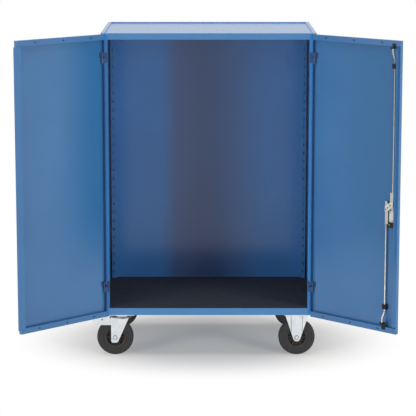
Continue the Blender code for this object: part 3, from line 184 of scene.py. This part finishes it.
BLOCK_SCREW = (
    (0.0, -1.6), (3.4, -1.6), (3.4, -0.4), (2.6, 0.2), (1.0, 0.2), (1.0, -0.5), (0.0, -0.5),
)
PLUG_PLACE = (504.5, 808.0)
PLUG_WASHER = (
    (0.0, 3.9), (5.6, 3.9), (5.6, 4.7), (4.8, 5.2), (2.4, 5.2), (2.4, 4.6), (0.0, 4.6),
)

# Plugs in the lips' holes, in each door's frame and in millimetres
LIP_HOLES = (82.0, 264.5, 447.0)
LIP_HOLE_LEVELS = (246.0, 1756.0)
LIP_PLUG = ((0.0, 10.6), (4.4, 10.6), (4.4, 11.0), (3.4, 11.5), (0.0, 11.5))

# Floor: from SHADOW_SHARE to WHITE_SHARE of the lid's half size a white glow fades in as a white
# backdrop, from side to side by NARROW_SHARE sooner. LEAST_WHITE is how far it has faded in
# inside, painted light that lifts the shadow there.
FLOOR_REACH = 40.0
FLOOR_COLOUR = (246, 241, 234)
FLOOR_ROUGHNESS = 0.9
FLOOR_SPECULAR = 0.1
FLOOR_SHADOW_SHARE = 0.95
FLOOR_WHITE_SHARE = 2.3
FLOOR_NARROW_SHARE = 0.86
FLOOR_LEAST_WHITE = 0.2

# Light: metres and watts
WHITE = (1, 1, 1, 1)
AMBIENT = 0.2
SOFTBOX_ANGLE = math.radians(46)
SOFTBOX_DISTANCE = 6.5
SOFTBOX_HEIGHT = 1.6
SOFTBOX_AIM = 0.9
SOFTBOX_SIZE = (2.2, 2.6)
SOFTBOXES = (("left", -1, 150), ("right", 1, 170))
OVERHEAD_HEIGHT = 5.0
OVERHEAD_SIZE = (5.0, 4.0)
OVERHEAD_POWER = 120

# Camera: in front of the stiles' front plane, looking down by its tilt in degrees
CAMERA_SENSOR = 36.0
CAMERA_LENS = 149.3
CAMERA_SHIFT = (-0.0014, -0.1)
CAMERA_CLIP = (0.1, 100.0)
CAMERA_DISTANCE = 9161.0 * MM
CAMERA_HEIGHT = 2574.1 * MM
CAMERA_TILT = 9.397


# Shader helpers
def linear(*values):
    """sRGB 0-255 to the linear colour the shader takes, by the standard's own curve."""
    out = []
    for value in values:
        share = value / 255
        out.append(share / 12.92 if share <= 0.04045 else ((share + 0.055) / 1.055) ** 2.4)
    return (*out, 1.0)


def new_material(name):
    """A new material with its node tree and shader."""
    made = bpy.data.materials.new(name)
    made.use_nodes = True
    tree = made.node_tree
    return made, tree, tree.nodes["Principled BSDF"]


def add(tree, kind, **values):
    """A new node; a value goes to the input of its name, or else to the setting of its name."""
    node = tree.nodes.new(kind)
    for key, value in values.items():
        if key in node.inputs:
            node.inputs[key].default_value = value
        else:
            setattr(node, key, value)
    return node


def noise(tree, scale, detail, stretch=EVEN):
    """Noise in the object's own metres."""
    where = add(tree, "ShaderNodeTexCoord")
    mapping = add(tree, "ShaderNodeMapping", Scale=stretch)
    made = add(tree, "ShaderNodeTexNoise", Scale=scale, Detail=detail)
    tree.links.new(where.outputs["Object"], mapping.inputs["Vector"])
    tree.links.new(mapping.outputs["Vector"], made.inputs["Vector"])
    return made.outputs["Fac"]


def blend_colours(tree, factor, first, second, band):
    """One sRGB colour up to the band's low end, the other from its high end on."""
    ramp = add(tree, "ShaderNodeValToRGB")
    for stop, place, colour in zip(ramp.color_ramp.elements, band, (first, second)):
        stop.position = place
        stop.color = linear(*colour)
    tree.links.new(factor, ramp.inputs["Fac"])
    return ramp.outputs["Color"]


def map_range(tree, factor, source, target, kind="LINEAR"):
    """Carry a value from one range to another."""
    made = add(tree, "ShaderNodeMapRange", interpolation_type=kind)
    made.inputs["From Min"].default_value, made.inputs["From Max"].default_value = source
    made.inputs["To Min"].default_value, made.inputs["To Max"].default_value = target
    tree.links.new(factor, made.inputs["Value"])
    return made.outputs["Result"]


def maths(tree, operation, *values):
    """The result of an operation on other nodes' outputs."""
    made = add(tree, "ShaderNodeMath", operation=operation)
    for number, value in enumerate(values):
        tree.links.new(value, made.inputs[number])
    return made.outputs["Value"]


def bump(tree, shader, factor, distance, strength, after=None):
    """Relief on a shader, on top of another relief where one is given."""
    made = add(tree, "ShaderNodeBump", Distance=distance, Strength=strength)
    tree.links.new(factor, made.inputs["Height"])
    if after:
        tree.links.new(after, made.inputs["Normal"])
    tree.links.new(made.outputs["Normal"], shader.inputs["Normal"])
    return made.outputs["Normal"]


def uneven(name, finish, colour, darker, roughness, share=1.0):
    """What every finish has: a tone that drifts between two colours and an uneven gloss."""
    made, tree, shader = new_material(name)
    tone = blend_colours(tree, noise(tree, *finish["tone"]), darker, colour, finish["band"])
    tree.links.new(tone, shader.inputs["Base Color"])
    below, above = finish["strays"]
    limits = (roughness - below * share, roughness + above * share)
    gloss = map_range(tree, noise(tree, *finish["gloss"]), NOISE_BAND, limits)
    tree.links.new(gloss, shader.inputs["Roughness"])
    shader.inputs["Specular IOR Level"].default_value = finish["specular"]
    return made, tree, shader


def powder_coat(name, colour, darker, roughness=SATIN, peel=1.0):
    """Satin powder coat: orange peel, a slow drift of tone, slightly uneven gloss."""
    made, tree, shader = uneven(name, COAT, colour, darker, roughness, peel)
    waves = None
    for scale, detail, depth, strength in (COAT_WAVES, COAT_GRAIN):
        waves = bump(tree, shader, noise(tree, scale, detail), depth, strength * peel, waves)
    return made


def coat_with_painted_light(name, colour, darker, ramps, tone, mirrored=False):
    """Powder coat that turns to another tone by place, which paints light and shade.

    Each ramp is an axis and the metres where the tone starts and is full."""
    made = powder_coat(name, colour, darker)
    tree = made.node_tree
    shader = tree.nodes["Principled BSDF"]
    where = add(tree, "ShaderNodeTexCoord")
    split = add(tree, "ShaderNodeSeparateXYZ")
    tree.links.new(where.outputs["Object"], split.inputs["Vector"])
    share = None
    for axis, start, full in ramps:
        level = split.outputs[axis]
        if mirrored:
            level = maths(tree, "ABSOLUTE", level)
        ramp = map_range(tree, level, (start, full), (0, 1), "SMOOTHSTEP")
        share = maths(tree, "MULTIPLY", share, ramp) if share else ramp
    coat = shader.inputs["Base Color"].links[0].from_socket
    toned = add(tree, "ShaderNodeMixRGB", Color2=linear(*tone))
    tree.links.new(share, toned.inputs["Fac"])
    tree.links.new(coat, toned.inputs["Color1"])
    tree.links.new(toned.outputs["Color"], shader.inputs["Base Color"])
    return made


def plated(name, colour, darker, roughness, grain=EVEN, metallic=1.0):
    """Zinc plate or drawn steel: cloudy tone, fine grain along the piece."""
    made, tree, shader = uneven(name, METAL, colour, darker, roughness)
    shader.inputs["Metallic"].default_value = metallic
    scale, detail, depth, strength = METAL_GRAIN
    bump(tree, shader, noise(tree, scale, detail, grain), depth, strength)
    return made


def moulded(name, colour, darker, roughness, grain=MOULD_GRAIN_SCALE):
    """Rubber or plastic with a fine moulded grain."""
    made, tree, shader = uneven(name, MOULD, colour, darker, roughness)
    detail, depth, strength = MOULD_GRAIN
    bump(tree, shader, noise(tree, grain, detail), depth, strength)
    return made


def ringed_rubber(name, colour, darker, roughness):
    """Moulded rubber with fine rings round the piece's own Y axis."""
    made = moulded(name, colour, darker, roughness, TYRE_GRAIN_SCALE)
    tree = made.node_tree
    shader = tree.nodes["Principled BSDF"]
    where = add(tree, "ShaderNodeTexCoord")
    rings = add(tree, "ShaderNodeTexWave", wave_type="RINGS", rings_direction="Y")
    rings.inputs["Scale"].default_value = RING_SCALE
    rings.inputs["Distortion"].default_value = RING_DISTORTION
    tree.links.new(where.outputs["Object"], rings.inputs["Vector"])
    tone = blend_colours(tree, rings.outputs["Fac"], darker, colour, RING_BAND)
    tree.links.new(tone, shader.inputs["Base Color"])
    return made


# Finishes: full colour, darker colour, roughness and what is particular to one
BLUES = ((70, 126, 182), (66, 121, 177))
BLUE = powder_coat("blue_powder_coat", *BLUES)
LID_BLUE = powder_coat("lid_powder_coat", (73, 127, 182), (71, 125, 180), 0.24, peel=0.03)
ZINC = plated("bright_zinc", (226, 230, 233), (208, 213, 218), 0.34)
HINGE_ZINC = plated("dull_zinc", (118, 116, 98), (88, 88, 72), 0.42)
STEEL = plated("drawn_steel", (188, 187, 182), (165, 165, 160), 0.33, LONG_GRAIN)
CAST = plated("satin_casting", (205, 203, 197), (184, 182, 176), 0.45, metallic=0.7)
# Dull zinc for heads, washers and the race; on the cheeks' ribs its darkness is painted shade
# along the creases
GREY_ZINC = plated("dull_zinc_and_crease_shade", (138, 140, 142), (116, 118, 120), 0.42)
# Painted highlight: a paler blue on the forward face of the lid's rear rim
PALE = powder_coat("lid_rim_painted_highlight", (128, 172, 220), (120, 164, 212), 0.3)
# Painted shade: dark navy in place of the shade on the door walls beside the hinges and on the
# hinge pieces
SHADED = powder_coat("hinge_side_painted_shade", (34, 70, 116), (30, 64, 108), 0.4)
BLACK = moulded("black_plastic", (15, 15, 16), (11, 11, 12), 0.5)
MAT = moulded("ribbed_rubber", (50, 54, 64), (44, 47, 57), 0.78, MAT_GRAIN_SCALE)
TYRE = ringed_rubber("tyre_rubber", (66, 66, 66), (47, 47, 48), 0.76)
RIM = moulded("rim_plastic", (69, 65, 61), (54, 51, 47), 0.6, RIM_GRAIN_SCALE)
BRASS = plated("nickelled_plug", (196, 188, 168), (176, 168, 150), 0.3)

# Coats with painted light and shade: painted reflection on the stiles' fronts and at the ends of
# both rails' fronts, painted shade in the back wall's middle and on the doors' inner skins. A ramp
# is an axis with the metres where the second tone starts and is full.
RAIL_ENDS = (("X", 0.532, 0.542),)
MIDDLE_BAND = (("X", -0.29, -0.16), ("X", 0.42, -0.08))
UPPER_SKIN = ("Z", 0.45, 0.85)
# Painted reflection: the stiles' fronts a brighter blue than the coat, the right one brighter
# still
STILES = {
    "left_side_panel": powder_coat("left_stile_painted_reflection", (40, 130, 201), (37, 125, 196)),
    "right_side_panel": powder_coat("right_stile_painted_reflection", (50, 149, 227), (46, 143, 221)),
}
# Painted reflection: both rails' fronts turn to the stiles' brighter blue at their ends
RAILS = {
    "top_panel": coat_with_painted_light(
        "top_rail_painted_reflection", (69, 127, 182), (65, 122, 178), RAIL_ENDS, (44, 136, 211), mirrored=True),
    "floor_tray": coat_with_painted_light(
        "bottom_rail_painted_reflection", (72, 134, 190), (68, 129, 186), RAIL_ENDS, (50, 145, 220),
        mirrored=True),
}
# Painted shade: the back wall's inner face turns darker and purplish in a band across its middle
BACK_WALL = coat_with_painted_light(
    "back_wall_painted_shade", (69, 129, 191), (66, 124, 186), MIDDLE_BAND, (81, 104, 149))
# Painted shade: each door's inner skin darker over its upper part, on the right door towards the
# free edge and on the left towards the hinge
DOOR_SKINS = {
    "right_door": coat_with_painted_light(
        "right_skin_painted_shade", *BLUES, (("X", 0.60, 0.86), UPPER_SKIN), (43, 110, 165)),
    "left_door": coat_with_painted_light(
        "left_skin_painted_shade", (72, 126, 180), (68, 121, 175),
        (("X", -0.82, -0.62), UPPER_SKIN), (47, 115, 170)),
}

LOOKS = (
    ("top_panel", LID_BLUE),
    # The hinge pins and leaves wear the painted shade
    ("hinge_pin", SHADED),
    ("hinge_door_leaf", SHADED),
    ("hinge_frame_leaf", SHADED),
    ("_swivel_castor_", ZINC),
    ("_fixed_castor_", ZINC),
    ("tyre", TYRE),
    ("rim", RIM),
    ("rubber_mat", MAT),
    ("locking_rod", STEEL),
    ("rack_cover", CAST),
    ("lock_block", CAST),
    ("handle_spindle", CAST),
    ("handle_base", BLACK),
    ("lock_retainer", BLACK),
    ("swing_lever", BLACK),
    ("_guide", BLACK),
    ("lock_plug", BRASS),
)


def look_of(name):
    """The last entry whose word is in the node's name wins."""
    found = BLUE
    for word, look in LOOKS:
        if word in name:
            found = look
    return found


def dress(thing, look):
    """Give a solid its finish, soft edges and clean shading."""
    thing.data.materials.clear()
    thing.data.materials.append(look)
    for face in thing.data.polygons:
        face.material_index = 0
    custom = thing.data.attributes.get("custom_normal")
    if custom:
        thing.data.attributes.remove(custom)
    thing.data.shade_smooth()
    weld = thing.modifiers.new("weld", "WELD")
    weld.merge_threshold = WELD_REACH
    bevel = thing.modifiers.new("soft_edges", "BEVEL")
    bevel.width = SOFT_EDGE
    bevel.segments = SOFT_EDGE_SEGMENTS
    bevel.limit_method = "ANGLE"
    bevel.angle_limit = SHARP
    bevel.harden_normals = True
    bevel.use_clamp_overlap = True


def paint(thing, look, chosen):
    """Add a further finish to a solid and give it to the faces that are chosen."""
    thing.data.materials.append(look)
    number = len(thing.data.materials) - 1
    for face in thing.data.polygons:
        if chosen(face):
            face.material_index = number


def looks(face, way):
    """The face looks one way."""
    return face.normal.dot(way) > FACING


def on_front(face):
    """The face looks forward and lies in the stiles' front plane."""
    return looks(face, -Y) and face.center.y < stile_face + FACE_SLACK


for name, thing in nodes.items():
    dress(thing, look_of(name))

# Painted shade: the door walls beside the hinges in dark navy, and the inner skins in a coat with
# its own painted shade
for name, (corner, along, inward) in DOORS.items():
    door = nodes[name + "_panel"]
    paint(door, SHADED, lambda face: (
        looks(face, along) and (face.center - corner).dot(along) < HINGE_WALL_DEPTH))
    paint(door, DOOR_SKINS[name], lambda face: (
        looks(face, inward) and (face.center - corner).dot(inward) < 0))

# Painted reflection on the fronts of the stiles and at the ends of both rails' fronts, and painted
# shade in the middle of the back wall's inner face
stile_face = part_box("left_side_panel")[0].y
for name, coat in (STILES | RAILS).items():
    paint(nodes[name], coat, on_front)
paint(nodes["back_panel"], BACK_WALL, lambda face: looks(face, -Y))

# Painted highlight: the lid's rear rim paler on the side that faces forward
lid_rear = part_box("top_panel")[1].y
paint(nodes["top_panel"], PALE, lambda face: (
    looks(face, -Y) and face.center.y > lid_rear - LID_RIM_REACH))

# A hinge leaf, elsewhere in the painted shade, is bare inside the stile's slit, and a swivel
# fork's race is duller than its cheeks
for name, thing in nodes.items():
    if "hinge_frame_leaf" in name:
        paint(thing, HINGE_ZINC, lambda face: face.center.y > stile_face - FACE_SLACK)
    if "swivel_castor_fork" in name:
        paint(thing, GREY_ZINC, lambda face: face.center.z > RACE_FOOT)


# Mesh helpers
def piece(name, builder, look, body, place=ORIGIN):
    """A new closed mesh that rides on a body."""
    bmesh.ops.remove_doubles(builder, verts=builder.verts, dist=MERGE_REACH)
    bmesh.ops.recalc_face_normals(builder, faces=builder.faces)
    mesh = bpy.data.meshes.new(name)
    builder.to_mesh(mesh)
    builder.free()
    thing = bpy.data.objects.new(name, mesh)
    bpy.context.scene.collection.objects.link(thing)
    mesh.materials.append(look)
    mesh.shade_smooth()
    mesh.set_sharp_from_angle(angle=SHARP)
    thing.location = place
    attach(thing, body)
    return thing


def extrude(builder, outline, axes, low, high):
    """Add a bar: its outline lies along the first two axes and its length along the third."""
    origin, first, second, along = axes
    start, end = [
        [builder.verts.new(origin + (first * a + second * b + along * reach) * MM)
            for a, b in outline]
        for reach in (low, high)
    ]
    builder.faces.new(start)
    builder.faces.new(reversed(end))
    for i in range(len(outline)):
        j = (i + 1) % len(outline)
        builder.faces.new((start[j], start[i], end[i], end[j]))


def turn(builder, profile, axes, steps=SMALL_STEPS):
    """Add a turned solid: its profile is radius and height along the third axis."""
    origin, first, second, along = axes
    rings = []
    for i in range(steps):
        angle = math.tau * i / steps
        spoke = first * math.cos(angle) + second * math.sin(angle)
        rings.append([
            builder.verts.new(origin + (spoke * radius + along * height) * MM)
            for radius, height in profile
        ])
    for i in range(steps):
        here, there = rings[i], rings[(i + 1) % steps]
        for k in range(len(profile)):
            m = (k + 1) % len(profile)
            # An edge that lies on the axis sweeps no face
            if profile[k][0] or profile[m][0]:
                builder.faces.new((here[k], there[k], there[m], here[m]))


def ribbed_mat():
    """Rubber mat with ribs from side to side."""
    low, groove, top = MAT_LEVELS
    foot, top_start, top_end = MAT_RIB
    builder = bmesh.new()
    for start, end, left_side, right_side in MAT_STRIPS:
        count = int((end - start) / MAT_PITCH)
        width = (end - start) / count
        comb = [(end, low), (start, low)]
        for i in range(count):
            left = start + width * i
            comb += [(left, groove), (left + foot * width, groove)]
            comb += [(left + top_start * width, top), (left + top_end * width, top)]
        comb.append((end, groove))
        extrude(builder, comb, (ORIGIN, Y, Z, X), left_side, right_side)
    mat = piece("ribbed_mat", builder, MAT, "cabinet")
    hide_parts("rubber_mat")


def tyre(name, body, place):
    """Tyre with raised rings on its sides and two grooves in its tread."""
    far_side = [(radius, -height) for radius, height in reversed(TYRE_HALF)]
    builder = bmesh.new()
    turn(builder, list(TYRE_HALF) + far_side, (ORIGIN, X, Z, Y), TYRE_STEPS)
    made = piece(name + "_ringed_tyre", builder, TYRE, body, place * MM)
    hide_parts(name + "_tyre")


def washers(name, body, place):
    """Washer round each end of an axle."""
    builder = bmesh.new()
    for way in (Y, -Y):
        turn(builder, AXLE_WASHER, (place * MM, X, Z, way))
    piece(name + "_axle_washers", builder, GREY_ZINC, body)


def plate_bolts(name, x, y):
    """Heads of the four bolts that hold a castor."""
    across, deep = BOLT_SPACING
    builder = bmesh.new()
    for i in (-1, 1):
        for j in (-1, 1):
            turn(builder, BOLT_HEAD, (Vector((x + i * across, y + j * deep, 0)) * MM, X, Y, Z))
    piece(name + "_plate_bolts", builder, GREY_ZINC, "cabinet")


def pedal_rivets(name, y):
    """Dark rivets on both arms of a brake pedal."""
    builder = bmesh.new()
    for across, height in PEDAL_RIVETS:
        place = Vector((SWIVEL_PLATE_X + across, y, height)) * MM
        for way in (Y, -Y):
            turn(builder, PEDAL_RIVET, (place, X, Z, way))
    piece(name + "_pedal_rivets", builder, BLACK, name + "_brake_pedal")


def creases(name, place):
    """Pressed ribs on both cheeks of a fixed bracket, whose darker zinc is painted shade along the
    creases.
    """
    level = Vector((place.x, place.y, 0)) * MM
    builder = bmesh.new()
    for across in (X, -X):
        for way in (Y, -Y):
            extrude(builder, CREASE, (level, across, Z, way), *CREASE_SPAN)
    piece(name + "_cheek_ribs", builder, GREY_ZINC, "cabinet")


def castors():
    """Fine pieces of the swivel castors on the left and the fixed ones on the right."""
    for row, y in CASTOR_ROWS.items():
        swivel = Vector((SWIVEL_WHEEL_X, y, AXLE_HEIGHT))
        fixed = Vector((FIXED_WHEEL_X, y, AXLE_HEIGHT))
        tyre(row + "_swivel_castor", row + "_swivel_wheel", swivel)
        tyre(row + "_fixed_castor", row + "_fixed_wheel", fixed)
        washers(row + "_swivel_castor", row + "_swivel_fork", swivel)
        washers(row + "_fixed_castor", "cabinet", fixed)
        plate_bolts(row + "_swivel_castor", SWIVEL_PLATE_X, y)
        plate_bolts(row + "_fixed_castor", FIXED_WHEEL_X, y)
        creases(row + "_fixed_castor", fixed)
        pedal_rivets(row, y)


def turned_set(name, places, profile, look, body):
    """One piece of like turned parts on a door. Each place is along the door and up."""
    corner, along, inward = DOORS[body]
    builder = bmesh.new()
    for u, z in places:
        turn(builder, profile, (corner + (along * u + Z * z) * MM, along, Z, inward))
    piece(name, builder, look, body)


def lock_details():
    """Face strips on the racks, a black strip of painted shade under the lip, screws and the
    washer on the plug.
    """
    door = "right_door"
    upright = (*DOORS[door], Z)
    for body, (section, span) in FACE_STRIPS.items():
        builder = bmesh.new()
        extrude(builder, section, upright, *span)
        piece(body + "_face_strip", builder, STEEL, body)
    builder = bmesh.new()
    extrude(builder, SHADE_STRIP, upright, *SHADE_STRIP_SPAN)
    piece("lock_shade_strip", builder, BLACK, door)
    turned_set("cover_screws", COVER_SCREWS, COVER_SCREW, BLACK, door)
    turned_set("block_screws", BLOCK_SCREWS, BLOCK_SCREW, GREY_ZINC, door)
    turned_set("plug_washer", (PLUG_PLACE,), PLUG_WASHER, HINGE_ZINC, door)


def lip_plugs():
    """Black plugs in the holes of each door's top and bottom lips."""
    places = [(u, z) for u in LIP_HOLES for z in LIP_HOLE_LEVELS]
    for body in DOORS:
        turned_set(body + "_lip_plugs", places, LIP_PLUG, BLACK, body)


ribbed_mat()
castors()
lock_details()
lip_plugs()


# Floor
def floor():
    """Pale floor that glows white for the camera and for reflections, a white backdrop round the
    trolley's own soft shadow. Faintly inside the shadow too, painted light that lifts it.
    """
    mesh = bpy.data.meshes.new("floor")
    ways = ((-1, -1), (1, -1), (1, 1), (-1, 1))
    corners = [(FLOOR_REACH * i, FLOOR_REACH * j, 0) for i, j in ways]
    mesh.from_pydata(corners, [], [(0, 1, 2, 3)])
    ground = bpy.data.objects.new("floor", mesh)
    bpy.context.scene.collection.objects.link(ground)
    made, tree, shader = new_material("pale_floor")
    shader.inputs["Base Color"].default_value = linear(*FLOOR_COLOUR)
    shader.inputs["Roughness"].default_value = FLOOR_ROUGHNESS
    shader.inputs["Specular IOR Level"].default_value = FLOOR_SPECULAR
    low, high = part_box("top_panel")
    half = (high - low) / 2
    centre = (low + high) / 2
    where = add(tree, "ShaderNodeTexCoord")
    shifted = add(tree, "ShaderNodeVectorMath", operation="SUBTRACT")
    shifted.inputs[1].default_value = (centre.x, centre.y, 0)
    scaled = add(tree, "ShaderNodeVectorMath", operation="DIVIDE")
    scaled.inputs[1].default_value = (half.x * FLOOR_NARROW_SHARE, half.y, 1)
    length = add(tree, "ShaderNodeVectorMath", operation="LENGTH")
    tree.links.new(where.outputs["Object"], shifted.inputs[0])
    tree.links.new(shifted.outputs["Vector"], scaled.inputs[0])
    tree.links.new(scaled.outputs["Vector"], length.inputs[0])
    fade = map_range(
        tree, length.outputs["Value"], (FLOOR_SHADOW_SHARE, FLOOR_WHITE_SHARE),
        (FLOOR_LEAST_WHITE, 1), "SMOOTHSTEP")
    rays = add(tree, "ShaderNodeLightPath").outputs
    either = maths(tree, "MAXIMUM", rays["Is Camera Ray"], rays["Is Glossy Ray"])
    white = add(tree, "ShaderNodeEmission", Color=WHITE, Strength=1.0)
    mix = add(tree, "ShaderNodeMixShader")
    tree.links.new(maths(tree, "MULTIPLY", fade, either), mix.inputs["Fac"])
    tree.links.new(shader.outputs["BSDF"], mix.inputs[1])
    tree.links.new(white.outputs["Emission"], mix.inputs[2])
    tree.links.new(mix.outputs["Shader"], tree.nodes["Material Output"].inputs["Surface"])
    ground.data.materials.append(made)


# Light
def world():
    """Dim neutral surroundings that the camera and glossy surfaces see as white."""
    made = bpy.data.worlds.new("studio")
    bpy.context.scene.world = made
    made.use_nodes = True
    tree = made.node_tree
    tree.nodes.clear()
    out = add(tree, "ShaderNodeOutputWorld")
    lit = add(tree, "ShaderNodeBackground", Color=WHITE, Strength=AMBIENT)
    seen = add(tree, "ShaderNodeBackground", Color=WHITE, Strength=1.0)
    mix = add(tree, "ShaderNodeMixShader")
    rays = add(tree, "ShaderNodeLightPath").outputs
    clear = maths(tree, "MAXIMUM", rays["Is Camera Ray"], rays["Is Transmission Ray"])
    bright = maths(tree, "MAXIMUM", clear, rays["Is Glossy Ray"])
    tree.links.new(bright, mix.inputs["Fac"])
    tree.links.new(lit.outputs["Background"], mix.inputs[1])
    tree.links.new(seen.outputs["Background"], mix.inputs[2])
    tree.links.new(mix.outputs["Shader"], out.inputs["Surface"])


def area(name, place, target, size, power):
    """A rectangular lamp aimed at a point."""
    data = bpy.data.lights.new(name, "AREA")
    data.shape = "RECTANGLE"
    data.size, data.size_y = size
    data.energy = power
    lamp = bpy.data.objects.new(name, data)
    bpy.context.scene.collection.objects.link(lamp)
    lamp.location = place
    aim = Vector(target) - Vector(place)
    lamp.rotation_euler = aim.to_track_quat("-Z", "Y").to_euler()


def lamps():
    """Two soft boxes in front, one on either side, and a wide one overhead."""
    aim = (0, 0, SOFTBOX_AIM)
    reach = SOFTBOX_DISTANCE * math.cos(SOFTBOX_ANGLE)
    across = SOFTBOX_DISTANCE * math.sin(SOFTBOX_ANGLE)
    for name, side, power in SOFTBOXES:
        place = (side * across, -reach, SOFTBOX_HEIGHT)
        area(name + "_softbox", place, aim, SOFTBOX_SIZE, power)
    area("overhead_softbox", (0, 0, OVERHEAD_HEIGHT), (0, 0, 0), OVERHEAD_SIZE, OVERHEAD_POWER)


floor()
world()
lamps()


# Camera
def camera():
    """The photo's view. Its lens may shift by 0.1 only, so the camera looks down as well."""
    data = bpy.data.cameras.new("camera")
    data.sensor_width = CAMERA_SENSOR
    data.lens = CAMERA_LENS
    data.shift_x, data.shift_y = CAMERA_SHIFT
    data.clip_start, data.clip_end = CAMERA_CLIP
    eye = bpy.data.objects.new("camera", data)
    bpy.context.scene.collection.objects.link(eye)
    eye.location = (0, stile_face - CAMERA_DISTANCE, CAMERA_HEIGHT)
    eye.rotation_euler = (math.radians(90 - CAMERA_TILT), 0, 0)
    bpy.context.scene.camera = eye


camera()
bpy.context.scene.view_settings.view_transform = "Standard"
